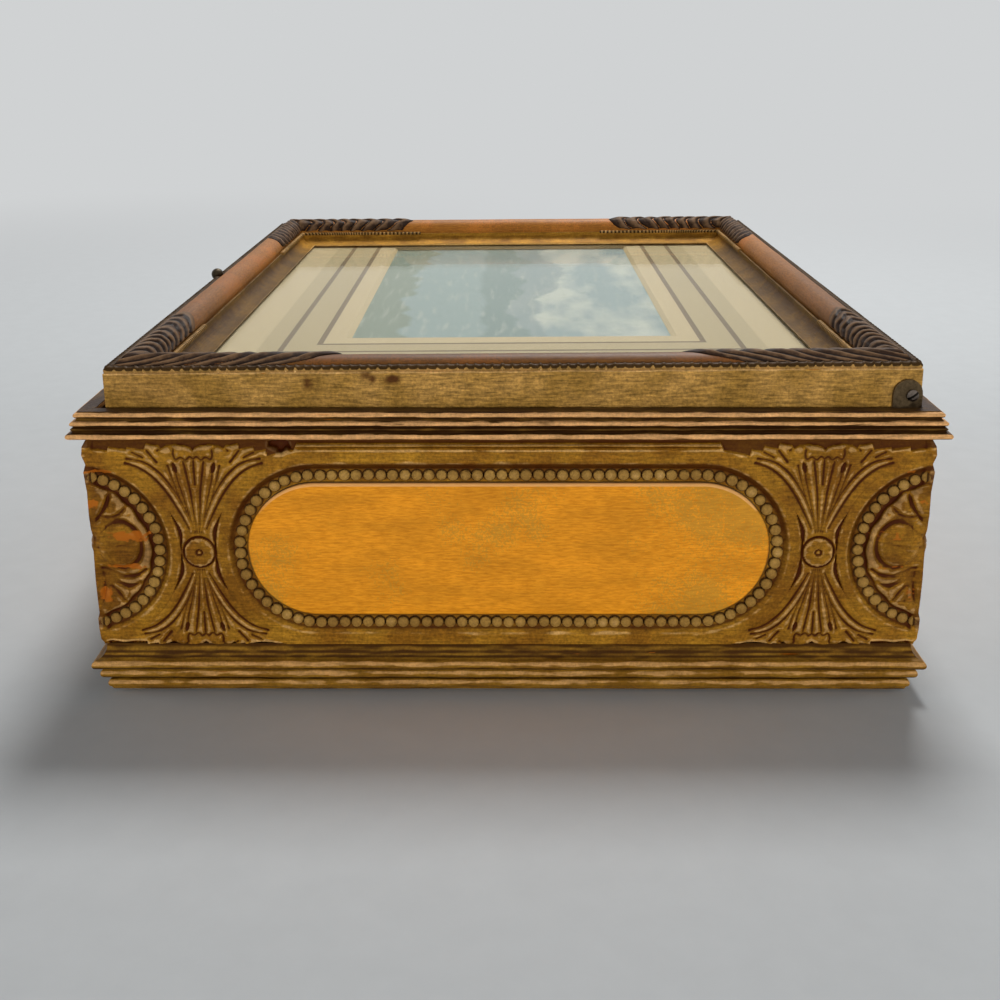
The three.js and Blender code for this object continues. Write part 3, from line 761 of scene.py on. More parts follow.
rim_tones = [(71.6, -0.1), (72.0, 0.1), (72.3, 0.26), (73.1, 0.3), (73.28, 0.1), (73.36, -0.24),
             (74.0, -0.24), (74.15, -0.1), (74.5, -0.09), (74.65, -0.26), (75.2, -0.26), (75.3, 0.1),
             (75.42, 0.26), (76.2, 0.24), (76.33, 0.05), (76.42, -0.2), (76.6, -0.14), (76.72, -0.08),
             (76.85, -0.2), (77.25, -0.2), (77.4, 0.2), (77.6, 0.32), (78.3, 0.32), (78.42, -0.1),
             (78.5, -0.24), (78.7, -0.14)]


def base_loop():
    points = [(-5.6, 14.4), (-5.6, 2.45), (1.05, 2.45), (1.05, 0.8), (2.9, 0.8)]
    for out, up, radius in ((4.0, 2.75, 1.3), (5.45, 6.15, 1.35), (7.1, 9.2, 1.25)):
        nose = arc((out - radius, up), radius, -60, 60, 9)
        points += nose
        points.append((nose[-1][0] - 0.45, nose[-1][1] + 0.2))
    last_out, last_up = points[-1]
    deep = last_out - 3.4
    rise = 14.4 - last_up
    points += [(last_out - 0.3, last_up + 0.02)]
    points += [(last_out - deep * math.sin(a), last_up + rise * (1 - math.cos(a)))
               for a in np.radians(np.linspace(12, 90, 8))]
    hidden = spaced(points[:5], 3, closed=False)
    shown = spaced(points[4:] + points[:1], 0.42, closed=False)
    return np.concatenate([hidden[:-1], shown])


def rim_loop():
    points = [(-5.6, 71.6), (3.9, 71.6), (6.4, 71.75)]
    points += arc((7.0, 72.6), 0.75, -70, 60, 9) + [(6.5, 73.4), (6.2, 73.75)]
    points += arc((6.35, 74.3), 0.26, -80, 80, 5) + [(6.05, 74.75), (5.95, 75.0)]
    points += arc((6.08, 75.65), 0.58, -60, 65, 9) + [(5.6, 76.3), (5.25, 76.7), (5.1, 77.0)]
    points += arc((5.22, 77.7), 0.62, -60, 70, 9)
    points += [(5.0, 78.45), (4.95, 78.65), (1.3, 78.65), (1.3, 74.9), (-5.6, 74.9)]
    shown = spaced(points[1:-1], 0.38, closed=False)
    hidden = spaced([points[-2], points[-1], points[0], points[1]], 3, closed=False)
    return np.concatenate([shown[:-1], hidden])


def lid_loop():
    """The rail's outline and, for each of its rows, the finish: side, round moulding or cove."""
    side = [(-12, 0)] + arc((-1.2, 1.2), 1.2, -90, 0, 6) + [(0, 12.1), (-0.3, 12.35), (-1.6, 12.4)]
    side = spaced(side, 0.6, closed=False)
    torus = spaced(arc(torus_centre, torus_radius, 18, 195, 40), 0.42, closed=False)
    cove = [(-10.0, 9.72), (-10.38, 9.72), (-10.42, 10.25), (-10.5, 10.32), (-11.1, 10.32), (-11.15, 10.25)]
    deep = rail_width - 10.0 - 1.15 - 0.1
    cove += [(-11.25 - deep * (1 - math.cos(a)), 9.72 - 3.6 * math.sin(a))
             for a in np.radians(np.linspace(8, 90, 10))]
    cove += [(-rail_width, 5.9), (-16.95, 5.62)]
    cove = spaced(cove, 0.42, closed=False)
    back = spaced([(-12, 5.62), (-12, 0)], 2, closed=False)
    loop = np.concatenate([side, torus, cove, back])
    finish = [0] * len(side) + [1] * len(torus) + [2] * (len(cove) + len(back))
    return loop, finish


def notched_edge(side, sizes, seed):
    """The bead along the lid's edge, cut by a row of gouge marks."""
    run = SIDES[side][1]
    pitch = sizes.notch_pitch * 1000
    ring = arc((-1.0, 13.0), 1.1, -35, 190, 11)
    loop = np.array(ring + [(-1.4, 12.1), (-0.5, 12.0), ring[0]])
    normal = loop_normals(loop)
    along0 = np.linspace(-run, run, int(2 * run / 0.4))
    phase = along0 / pitch + 0.22 * wander(along0, 0 * along0, seed, 5, 1)
    tooth = np.abs(phase - np.rint(phase)) * pitch
    random = wander(along0, 0 * along0, seed + 1, 4, 1)
    cut = -(0.34 + 0.12 * random) * step_up(tooth - 0.3, 0.3)
    if side == "front":
        # Room for the knob
        cut = np.minimum(cut, -0.75 * step_up(2.6 - np.abs(along0), 0.4))
    face = np.clip(normal @ np.array([0.75, 0.66]) + 0.35, 0, 1)
    out, up = pushed(loop, normal, cut[:, None] * face)
    along, points = mitred(side, along0, out, loop[:, 0], up, 0)
    uv = np.stack([along, loop_length(loop) + 0 * along], -1)
    # Painted shade: the upper part of the bead is darkened, and the notches dark with dirt and painted shade
    low = smooth((loop[:, 1] - 12.6) / 1.2)
    relief = (0.3 + cut + 0.1 * random)[:, None] - 0.5 * low
    return sheet(f"notched_edge_{side}", on_lid(points), uv, {"relief": relief}, angle=70)


def leaf_arm(name, side, end, sizes, seed):
    """One half of a corner leaf: overlapping ridges laid over the round moulding."""
    pitch = sizes.leaf_pitch * 1000
    length = sizes.leaf_length * 1000 + leaf_further[SIDES[side][0] % 2]
    from_corner = np.arange(0, length + 3, 0.45)
    # Round the moulding in degrees, over its face and back under it
    angle = np.concatenate([np.linspace(18, 186, 58), np.linspace(172, 38, 6), [18]])
    shell = np.ones(len(angle), bool)
    shell[58:-1] = False
    s, a = np.meshgrid(from_corner, angle, indexing="ij")
    tail = 15 * np.clip((110 - a) / 76, 0, 1.2) ** 1.6 + 5 * np.clip((a - 110) / 68, 0, 1.2) ** 1.7
    phase = (s + tail + 1.1 * wander(s, a, seed, 8, 26)) / pitch
    lobe = phase - np.floor(phase)
    ridge = smooth(lobe / 0.3) * (1 - 0.7 * smooth((lobe - 0.4) / 0.6))
    gap = bump(np.minimum(lobe, 1 - lobe), 0.1)
    thin = 0.12 + 0.88 * smooth((a - 50) / 35)
    rise = 4.22 + (0.78 * ridge - 0.15 * gap) * thin + 0.08 * wander(s, a, seed + 1, 2.4, 9) * thin
    # Scalloped edges, and the last whole ridge at its end
    scallop = 3 * np.cos(2 * math.pi * s / pitch)
    cover = step_up(a - 25 - scallop, 4) * step_up(178 - scallop - a, 4)
    cover = cover * step_up(math.floor(length / pitch) - phase, 0.09)
    radius = np.where(shell, 3.85 + (rise - 3.85) * cover, 3.3)
    radius[:, -1] = radius[:, 0]
    out = torus_centre[0] + radius * np.cos(np.radians(a))
    up = torus_centre[1] + radius * np.sin(np.radians(a))
    # Relief read by the finish: rubbed lines on the ridges, and dirt and painted shade in the gaps and beyond
    # the leaf's edge
    line = bump(lobe - 0.3, 0.09) - 0.4 * bump(lobe - 0.62, 0.06)
    relief = 0.3 * (ridge - 0.5) - 0.55 * gap + 0.14 * line - 0.3 * (1 - cover)
    uv = np.stack([s, np.radians(a) * torus_radius], -1)
    return sheet(name, along_rail(side, end, s, out, up), uv, {"relief": np.where(shell, relief, -0.5)},
                 angle=70)


def ribbed_arm(name, side, end, sizes):
    """The narrow ribbed fillet on the inner side of a corner leaf."""
    pitch = sizes.rib_pitch * 1000
    from_corner = np.arange(0, sizes.leaf_length * 1000 + rib_further[SIDES[side][0] % 2], 0.3)
    fillet_out = -10.95
    fillet_up = 10.1
    ring = arc((fillet_out, fillet_up), 0.95, -20, 200, 10)
    loop = np.array(ring + [ring[0]])
    s, _ = np.meshgrid(from_corner, loop[:, 0], indexing="ij")
    rib = 0.5 + 0.5 * np.cos(2 * math.pi * s / pitch)
    swell = 0.7 + 0.3 * rib ** 0.6
    out = fillet_out + (loop[:, 0] - fillet_out) * swell
    up = fillet_up + (loop[:, 1] - fillet_up) * swell
    # Ribs rubbed pale, with dirt and painted shade between them
    return sheet(name, along_rail(side, end, s, out, up), np.stack([s, up], -1),
                 {"relief": 0.75 * rib - 0.42}, angle=70)


def cut_mat(sizes):
    """The mat board, one sheet with a bevelled opening."""
    bevel = sizes.mat_bevel * 1000
    outer = (-135.9, -91.9, 135.9, 91.9)
    hole = (-131.7, -50, 66.5, 50)
    wide = (hole[0] - bevel, hole[1] - bevel, hole[2] + bevel, hole[3] + bevel)
    face = 4.02
    back = 2.82
    rings = ((outer, face), (outer, back), (hole, back), (hole, 2.9), (wide, face), (outer, face))
    corners = ((0, 1), (2, 1), (2, 3), (0, 3), (0, 1))
    points = np.array([[(box[i], box[j], up) for box, up in rings] for i, j in corners], float)
    return sheet("cut_mat", on_lid(points), points[..., :2], angle=20)


def worn_copy(node, name, width):
    """A copy of a plain node with its doubles merged and its edges eased."""
    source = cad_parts[node]
    piece = source.copy()
    piece.data = source.data.copy()
    for key in list(piece.keys()):
        del piece[key]
    piece.parent = None
    bpy.context.collection.objects.link(piece)
    named(piece, name)
    edit_all(piece)
    bpy.ops.mesh.remove_doubles(threshold=1e-6)
    bpy.ops.mesh.tris_convert_to_quads(face_threshold=0.02, shape_threshold=3.1)
    bpy.ops.mesh.dissolve_limited(angle_limit=math.radians(2))
    end_edit()
    modifier = piece.modifiers.new("Eased edges", "BEVEL")
    modifier.width = width
    modifier.segments = 2
    modifier.limit_method = "ANGLE"
    modifier.angle_limit = math.radians(40)
    bpy.ops.object.modifier_apply(modifier=modifier.name)
    bpy.ops.object.shade_smooth_by_angle(angle=math.radians(40))
    return piece


# Materials

def fill(node, *values, **settings):
    """Fills a node's sockets, in order or by their names, and its settings, whose names are in lower case.

    A socket takes a value, a colour as hex or as numbers, or another node's output.
    """
    order = (0, 6, 7) if node.type == "MIX" else range(len(values))
    sockets = dict(zip(order, values))
    for key, value in settings.items():
        if key.islower():
            setattr(node, key, value)
        else:
            sockets[key.replace("_", " ")] = value
    for key, value in sockets.items():
        socket = node.inputs[key]
        if isinstance(value, bpy.types.NodeSocket):
            node.id_data.links.new(value, socket)
        elif socket.type == "RGBA":
            socket.default_value = (*(hex_colour(value) if isinstance(value, str) else value), 1.0)
        else:
            socket.default_value = value
    return node


def adder(tree):
    """The function that adds a node to a tree, with its settings and links, and gives one output of it."""
    def add(kind, *values, out=0, **settings):
        made = tree.nodes.new("ShaderNode" + kind)
        if kind == "Mix":
            made.data_type = "RGBA"
            out = 2
        return fill(made, *values, **settings).outputs[out]
    return add


def new_material(name, **sockets):
    """A material, the function that adds nodes to it, and its shader."""
    material = bpy.data.materials.new(name)
    material.use_nodes = True
    tree = material.node_tree
    return material, adder(tree), fill(tree.nodes["Principled BSDF"], **sockets)


def painted_light_end_to_end(node, place, colour, ends):
    """Painted light and shade along the box: lighter or darker from end to end; the start, the end and the
    two factors.
    """
    share = node("MapRange", node("SeparateXYZ", place), *ends)
    return node("Mix", 1.0, colour, share, blend_type="MULTIPLY")


def painted_wood(name, flats, slope, worn, groove, crest, hollow, rough=0.5, streak=0.22, patchy=0.08,
                 mottle=0.22, sheen=0.2, ends=None):
    """Bronze paint over carved wood: gold on the flats, rubbed crests, dirt and painted shade in the hollows,
    bare chips.
    """
    material, node, shader = new_material(name, Metallic=0.25, Specular_IOR_Level=sheen)
    place = node("TexCoord", out="Object")
    flow = node("UVMap")
    # Clouds of 12 mm, brush and grain streaks 0.5 mm wide and 4 mm long, and 0.6 mm speckle
    clouds = node("TexNoise", place, Scale=80.0, Detail=4.0, Roughness=0.6)
    along = node("Mapping", flow, Scale=(0.14, 1.0, 1.0))
    streaks = node("TexNoise", along, Scale=1500.0, Detail=3.0, Roughness=0.65)
    speckle = node("TexNoise", place, Scale=1300.0, Detail=2.0, Roughness=0.7)
    along = node("Mapping", flow, Scale=(0.22, 1.0, 1.0))
    drawn = node("TexNoise", along, Scale=800.0, Detail=4.0, Roughness=0.6)
    base = node("Mix", node("MapRange", clouds, 0.4, 0.62), slope, flats)
    lines = node("MapRange", streaks, 0.34, 0.66, 1 + streak, 1 - streak)
    dots = node("MapRange", speckle, 0.3, 0.7, 1 - mottle, 1 + mottle)
    shade = node("Math", lines, dots, operation="MULTIPLY")
    base = node("Mix", 1.0, base, shade, blend_type="MULTIPLY")
    # Crests rubbed down to paler wood, in broken lines
    relief = node("Attribute", attribute_name="relief", out="Fac")
    broken = node("MapRange", node("Math", drawn, clouds), 0.7, 1.3, -patchy, patchy)
    wear = node("MapRange", node("Math", relief, broken), crest, crest + 0.1, 0.0, 0.8,
                interpolation_type="SMOOTHSTEP")
    bright = node("Math", node("MapRange", drawn, 0.3, 0.7, 0.65, 1.35), dots, operation="MULTIPLY")
    pale = node("Mix", 1.0, worn, bright, blend_type="MULTIPLY")
    colour = node("Mix", wear, base, pale)
    # Dirt and painted shade in the narrow grooves and in the broad hollows
    groove_dirt_and_shade = node("MapRange", relief, -0.03, -hollow, 0.0, 0.88, interpolation_type="SMOOTHSTEP")
    deep = node("MapRange", node("Attribute", attribute_name="hollow", out="Fac"), -0.06, -0.46, 0.0, 0.85)
    colour = node("Mix", deep, node("Mix", groove_dirt_and_shade, colour, groove), groove)
    bare = node("Math", node("Attribute", attribute_name="bare", out="Fac"), broken)
    colour = node("Mix", node("MapRange", bare, 0.4, 0.62, 0.0, 0.85), colour, "#A85C14")
    # Painted light and shade from end to end of the box
    if ends:
        colour = painted_light_end_to_end(node, place, colour, ends)
    gloss = node("MapRange", speckle, 0.0, 1.0, rough - 0.1, rough + 0.12)
    height = node("Math", speckle, streaks, operation="SUBTRACT")
    grain = node("Bump", Height=height, Strength=0.5, Distance=0.0002)
    fill(shader, Base_Color=colour, Roughness=gloss, Normal=grain)
    return material


def stained_wood(name, light, dark, rub, rub_amount, rough, grain_mm, ends=None, dulled=None):
    """Stained wood: long fine grain, slow changes of tone, and patches where the finish has rubbed."""
    material, node, shader = new_material(name, Specular_IOR_Level=0.25)
    flow = node("UVMap")
    place = node("TexCoord", out="Object")
    along = node("Mapping", flow, Scale=(0.16, 1.0, 1.0))
    grain = node("TexNoise", along, Scale=1000 / grain_mm, Detail=5.0, Roughness=0.65, Distortion=0.3)
    colour = node("Mix", node("MapRange", grain, 0.38, 0.66), light, dark)
    slow = node("TexNoise", node("Mapping", flow, Scale=(0.35, 1.0, 1.0)), Scale=150.0, Detail=3.0)
    slow = node("MapRange", slow, 0.35, 0.65, 0.88, 1.12)
    colour = node("Mix", 1.0, colour, slow, blend_type="MULTIPLY")
    patches = node("TexNoise", place, Scale=38.0, Detail=3.0, Roughness=0.5)
    dust = node("TexNoise", place, Scale=1500.0, Detail=3.0, Roughness=0.7)
    spread = node("Math", dust, node("MapRange", patches, 0.46, 0.62, -0.12, 0.12))
    if dulled:
        # One broad dulled place: its middle across the box and its reach
        beside = node("Math", node("SeparateXYZ", place, out="Y"), dulled[0], operation="SUBTRACT")
        near = node("MapRange", node("Math", beside, operation="ABSOLUTE"), dulled[1], 0.0, 0.0, 0.14)
        spread = node("Math", spread, near)
    colour = node("Mix", node("MapRange", spread, 0.54, 0.6, 0.0, rub_amount), colour, rub)
    # Bare wood on the rubbed edge, on an oval's upper edge also a painted highlight, and dark where the
    # relief is low: dirt and painted shade, as along an oval's lower edge
    bare = node("MapRange", node("Attribute", attribute_name="bare", out="Fac"), 0.25, 0.6, 0.0, 0.7)
    colour = node("Mix", bare, colour, "#DCA468")
    edge = node("MapRange", node("Attribute", attribute_name="relief", out="Fac"), -0.3, -0.8, 0.0, 0.9)
    colour = node("Mix", edge, colour, "#2C1A0A")
    # Painted light and shade from end to end of the box
    if ends:
        colour = painted_light_end_to_end(node, place, colour, ends)
    gloss = node("MapRange", dust, 0.0, 1.0, rough - 0.1, rough + 0.1)
    fine = node("Bump", Height=grain, Strength=0.25, Distance=0.0001)
    fill(shader, Base_Color=colour, Roughness=gloss, Normal=fine)
    return material


def leaf_bronze(colours):
    """Dark bronze over carved leaves, with gold rubbed onto the high lines."""
    material, node, shader = new_material("Dark bronze on carved wood", Roughness=0.5,
                                          Specular_IOR_Level=0.08)
    relief = node("Attribute", attribute_name="relief", out="Fac")
    patches = node("TexNoise", node("TexCoord", out="Object"), Scale=260.0, Detail=4.0, Roughness=0.6)
    high = node("Math", relief, node("MapRange", patches, 0.3, 0.7, -0.14, 0.14))
    rub = node("MapRange", high, -0.02, 0.26, 0.0, 0.8)
    colour = node("Mix", rub, colours.bronze, colours.bronze_rub)
    # Dirt and painted shade where the relief is low, in the gaps between ridges and beyond the leaf's edge
    low = node("MapRange", relief, -0.15, -0.45, 0.0, 0.9)
    fine = node("Bump", Height=patches, Strength=0.3, Distance=0.0003)
    fill(shader, Base_Color=node("Mix", low, colour, "#140D08"), Normal=fine)
    return material


def mat_board(colours):
    """Cream board with a ruled wash border, which gives the pale frame round the picture."""
    material, node, shader = new_material("Cream mat board with wash lines", Roughness=0.9)
    flow = node("UVMap")
    # Distance out from the opening, from its long sides or its far end
    side = node("Math", node("SeparateXYZ", flow, out="Y"), operation="ABSOLUTE")
    side = node("Math", side, 0.05, operation="SUBTRACT")
    end = node("Math", node("SeparateXYZ", flow), 0.0686, operation="SUBTRACT")
    away = node("Math", side, end, operation="MAXIMUM")
    fibre = node("TexNoise", flow, Scale=700.0, Detail=3.0)
    tone = node("MapRange", fibre, 0.3, 0.7, 0.95, 1.04)
    colour = node("Mix", 1.0, colours.mat, tone, blend_type="MULTIPLY")
    # Two washes and two ruled lines: distance from the opening, soft edge's two places, strength
    for middle, outer, inner, strength, tint in ((0.0137, 0.0056, 0.0051, 0.55, colours.mat_wash),
                                                 (0.0226, 0.0037, 0.0031, 0.6, colours.mat_wash),
                                                 (0.0189, 0.00095, 0.0008, 0.9, colours.mat_line),
                                                 (0.0082, 0.00095, 0.0008, 0.9, colours.mat_line)):
        beside = node("Math", away, middle, operation="SUBTRACT")
        band = node("MapRange", node("Math", beside, operation="ABSOLUTE"), outer, inner, 0.0, strength)
        colour = node("Mix", band, colour, tint)
    fine = node("Bump", Height=fibre, Strength=0.15, Distance=0.00005)
    fill(shader, Base_Color=colour, Normal=fine)
    return material


def lake_print():
    """A pale printed landscape of the maker's own: sky, two ranges of hills, water and a reedy bank."""
    material, node, shader = new_material("Pale landscape print on paper", Roughness=0.75)
    place = node("TexCoord", out="Object")
    x = node("SeparateXYZ", place)
    y = node("SeparateXYZ", place, out="Y")
    clouds = node("TexNoise", node("Mapping", place, Scale=(0.5, 1.4, 1.0)), Scale=45.0, Detail=4.0)
    colour = node("Mix", node("MapRange", clouds, 0.42, 0.62), "#8A9A94", "#B4B8A8")
    # Hills and bank: level, ridges to a metre, height of the ridges and colour
    bands = [(0.016, 14.0, 0.028, "#82908A"), (0.004, 26.0, 0.02, "#74867C"),
             (-0.009, 30.0, 0.006, "#8C9C94"), (-0.034, 40.0, 0.016, "#78826A")]
    for level, scale, tall, code in bands:
        ridge = node("TexNoise", node("CombineXYZ", x, level, 0.0), Scale=scale, Detail=5.0)
        ridge = node("Math", ridge, 0.5, operation="SUBTRACT")
        ridge = node("Math", ridge, 2 * tall, level, operation="MULTIPLY_ADD")
        under = node("Math", ridge, y, operation="SUBTRACT")
        colour = node("Mix", node("MapRange", under, -0.0006, 0.0012, 0.0, 0.8), colour, code)
    ripples = node("TexNoise", node("Mapping", place, Scale=(0.12, 1.0, 1.0)), Scale=420.0, Detail=3.0)
    colour = node("Mix", node("MapRange", ripples, 0.55, 0.72, 0.0, 0.45), colour, "#B0B4A2")
    leaves = node("TexNoise", place, Scale=240.0, Detail=4.0, Roughness=0.7)
    colour = node("Mix", node("MapRange", leaves, 0.55, 0.7, 0.0, 0.3), colour, "#748474")
    fill(shader, Base_Color=colour)
    return material


def clear_glass():
    """Picture glass: a clear pane that shows soft reflections and lets light through its shadow."""
    material, node, shader = new_material("Clear picture glass", Roughness=0.03, IOR=1.04,
                                          Transmission_Weight=1.0)
    shadow = node("LightPath", out="Is Shadow Ray")
    pane = node("MixShader", shadow, shader.outputs[0], node("BsdfTransparent"))
    fill(material.node_tree.nodes["Material Output"], Surface=pane)
    return material


def dark_metal(name, tint, rough, scratch, slot=None):
    """Steel or brass darkened by age: metal with dull patches and small scratches."""
    material, node, shader = new_material(name, Metallic=1.0)
    place = node("TexCoord", out="Object")
    patches = node("TexNoise", place, Scale=900.0, Detail=4.0, Roughness=0.65)
    colour = node("Mix", 1.0, tint, node("MapRange", patches, 0.3, 0.7, 0.55, 1.35), blend_type="MULTIPLY")
    if slot:
        # A screwdriver slot across the head, drawn only as painted shade in a dark line: its centre's two
        # places and its angle
        across = (0, -math.sin(slot[2]), math.cos(slot[2]))
        beside = node("VectorMath", place, across, operation="DOT_PRODUCT", out="Value")
        beside = node("Math", beside, slot[0] * across[1] + slot[1] * across[2], operation="SUBTRACT")
        beside = node("Math", beside, operation="ABSOLUTE")
        colour = node("Mix", node("MapRange", beside, 0.00034, 0.00026, 0.0, 0.92), colour, "#0C0906")
    gloss = node("MapRange", patches, 0.0, 1.0, rough - 0.15, rough + 0.2)
    fine = node("Bump", Height=patches, Strength=scratch, Distance=0.0001)
    fill(shader, Base_Color=colour, Roughness=gloss, Normal=fine)
    return material


def plain_surface(name, tint, rough, scale, stretch, contrast):
    """Paper, card or an unfinished board: matt, with fibre or grain at its own size."""
    material, node, shader = new_material(name, Roughness=rough)
    place = node("Mapping", node("TexCoord", out="Object"), Scale=stretch)
    fibre = node("TexNoise", place, Scale=scale, Detail=5.0, Roughness=0.6)
    tone = node("MapRange", fibre, 0.3, 0.7, 1 - contrast, 1 + contrast)
    fine = node("Bump", Height=fibre, Strength=0.3, Distance=0.0001)
    fill(shader, Base_Color=node("Mix", 1.0, tint, tone, blend_type="MULTIPLY"), Normal=fine)
    return material


def seen(node):
    """1 for what the camera sees, also in a mirror or through glass, and 0 for what only gives light."""
    direct = node("Math", node("LightPath", out="Is Camera Ray"), node("LightPath", out="Is Glossy Ray"))
    return node("Math", direct, node("LightPath", out="Is Transmission Ray"), use_clamp=True)


def studio_paper(colours):
    """Pale matt paper that takes the box's shadow near it and shows the backdrop's colour far off."""
    material, node, shader = new_material("Pale studio paper", Roughness=0.9, Specular_IOR_Level=0.2)
    place = node("TexCoord", out="Object")
    fibre = node("TexNoise", place, Scale=90.0, Detail=6.0, Roughness=0.6)
    tone = node("MapRange", fibre, 0.3, 0.7, 0.98, 1.02)
    fill(shader, Base_Color=node("Mix", 1.0, colours.floor, tone, blend_type="MULTIPLY"))
    away = node("VectorMath", place, operation="LENGTH", out="Value")
    far = node("MapRange", away, 0.25, 1.3, interpolation_type="SMOOTHSTEP")
    glow = node("Emission", Color=colours.backdrop, Strength=1.0)
    share = node("Math", seen(node), far, operation="MULTIPLY")
    paper = node("MixShader", share, shader.outputs[0], glow)
    fill(material.node_tree.nodes["Material Output"], Surface=paper)
    return material


# The stage

def studio_floor(colours):
    """A round floor. Far off it takes on the backdrop's colour, so no edge shows from any side."""
    radius = np.array([0.001, 0.06, 0.15, 0.3, 0.6, 1.2, 2.5, 5, 10, 20, 40])
    angle = np.radians(np.linspace(0, 360, 65))
    floor, i, j = grid("studio_floor", len(angle), len(radius))
    move_to(floor, np.stack([np.cos(angle[i]) * radius[j], np.sin(angle[i]) * radius[j], 0 * angle[i]], -1))
    edit_all(floor)
    bpy.ops.mesh.remove_doubles(threshold=1e-5)
    end_edit()
    if floor.data.polygons[0].normal.z < 0:
        floor.data.flip_normals()
    paint(floor, studio_paper(colours))


def studio_lamps(context):
    """One firm lamp from above and behind, and a soft one on each side. Only the first shows in gloss."""
    aim = Vector((0, 0, 0.04))
    lamps = (("key", (-0.6, 0.14, 1.15), 0.42, 13.0), ("front", (1.6, 0.1, 0.15), 0.8, 17.0),
             ("back", (-1.6, 0.3, 0.22), 0.8, 9.0), ("left", (0.1, -1.6, 0.22), 0.8, 9.0),
             ("right", (0.1, 1.6, 0.22), 0.8, 9.0))
    for name, place, size, watts in lamps:
        bpy.ops.object.light_add(type="AREA", location=place)
        lamp = context.object
        lamp.name = f"{name}_lamp"
        lamp.data.size = size
        if name == "front":
            lamp.data.shape = "RECTANGLE"
            lamp.data.size_y = 0.24
        lamp.data.energy = watts
        lamp.rotation_euler = (aim - Vector(place)).to_track_quat("-Z", "Y").to_euler()
        lamp.visible_glossy = name == "key"
        lamp.visible_transmission = False


def studio_world(context, colours):
    """Faint even light, and the backdrop's colour for what the camera sees past the floor."""
    world = context.scene.world or bpy.data.worlds.new("Studio")
    context.scene.world = world
    world.use_nodes = True
    node = adder(world.node_tree)
    sky = fill(world.node_tree.nodes["Background"], Color=(0.95, 0.97, 1.0), Strength=0.11)
    shown = node("Background", Color=colours.backdrop, Strength=1.0)
    mix = node("MixShader", seen(node), sky.outputs[0], shown)
    fill(world.node_tree.nodes["World Output"], Surface=mix)


def studio_camera(context):
    """A camera that looks at the right-hand end from a little above, level but for a slight roll."""
    stand = (0.494, -0.0002, 0.1671)
    pitch = math.radians(18.17)
    yaw = math.radians(-0.33)
    roll = math.radians(-0.11)
    focal_pixels = 1396
    frame_pixels = 1000
    ahead = Vector((-math.cos(yaw) * math.cos(pitch), math.sin(yaw) * math.cos(pitch), -math.sin(pitch)))
    right = Vector((math.sin(yaw), math.cos(yaw), 0))
    upward = right.cross(ahead)
    level_right = right * math.cos(roll) + upward * math.sin(roll)
    level_up = upward * math.cos(roll) - right * math.sin(roll)
    bpy.ops.object.camera_add(location=stand)
    camera = context.object
    camera.rotation_euler = Matrix((level_right, level_up, -ahead)).transposed().to_euler()
    camera.data.sensor_width = 36
    camera.data.lens = camera.data.sensor_width * focal_pixels / frame_pixels
    camera.data.clip_start = 0.01
    context.scene.camera = camera


# Operators

class KEEPSAKE_OT_sides(bpy.types.Operator):
    """Carved side boards with their ovals and beads"""
    bl_idname = "keepsake.sides"
    bl_label = "Carved sides"

    def execute(self, context):
        sizes = context.scene.keepsake_sizes
        colours = context.scene.keepsake_colours
        gilt = painted_wood("Bronze paint on carved wood", colours.gilt, colours.gilt_dark, colours.worn,
                            colours.grime_and_shade, 0.12, 0.28, streak=0.28, mottle=0.3)
        beads = painted_wood("Bronze paint on carved beads", "#A47E3E", "#8C6830", "#C89E64", "#300E00",
                             0.12, 0.26)
        honey = stained_wood("Honey stained wood", colours.honey, colours.honey_dark, "#94782C", 0.45, 0.42,
                             0.5, dulled=(0.056, 0.03))
        for k, side in enumerate(SIDES):
            board = dress(carved_board(side, 100 + 10 * k), "case", "gilt_wood", gilt)
            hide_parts(f"panel_{side}")
            dress(oval_inlay(side), "case", "gilt_wood", honey)
            dress(bead_rows(side, sizes, 40 + k), "case", "gilt_wood", beads)
        return {"FINISHED"}


class KEEPSAKE_OT_mouldings(bpy.types.Operator):
    """Base and rim mouldings of the case"""
    bl_idname = "keepsake.mouldings"
    bl_label = "Case mouldings"

    def execute(self, context):
        stray = context.scene.keepsake_sizes.waviness * 1000
        gilt = painted_wood("Bronze paint on a base moulding", "#8E661E", "#7A5418", "#BC8E56", "#301400",
                            0.08, 0.24, patchy=0.1)
        rubbed = painted_wood("Rubbed bronze paint on a rim moulding", "#6A4A1A", "#4A3010", "#DCA66C",
                              "#260E00", 0.08, 0.22, patchy=0.09)
        base_outline = base_loop()
        rim_outline = rim_loop()
        for k, side in enumerate(SIDES):
            base = moulding(f"base_moulding_{side}", side, base_outline, mitre_out, stray, 300 + 10 * k, 5,
                            tones=base_tones)
            dress(base, "case", "gilt_wood", gilt)
            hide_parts(f"base_{side}")
            rim = moulding(f"rim_moulding_{side}", side, rim_outline, mitre_out, stray, 400 + 10 * k, 3,
                           tones=rim_tones)
            dress(rim, "case", "gilt_wood", rubbed)
            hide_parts(f"rim_{side}")
        return {"FINISHED"}


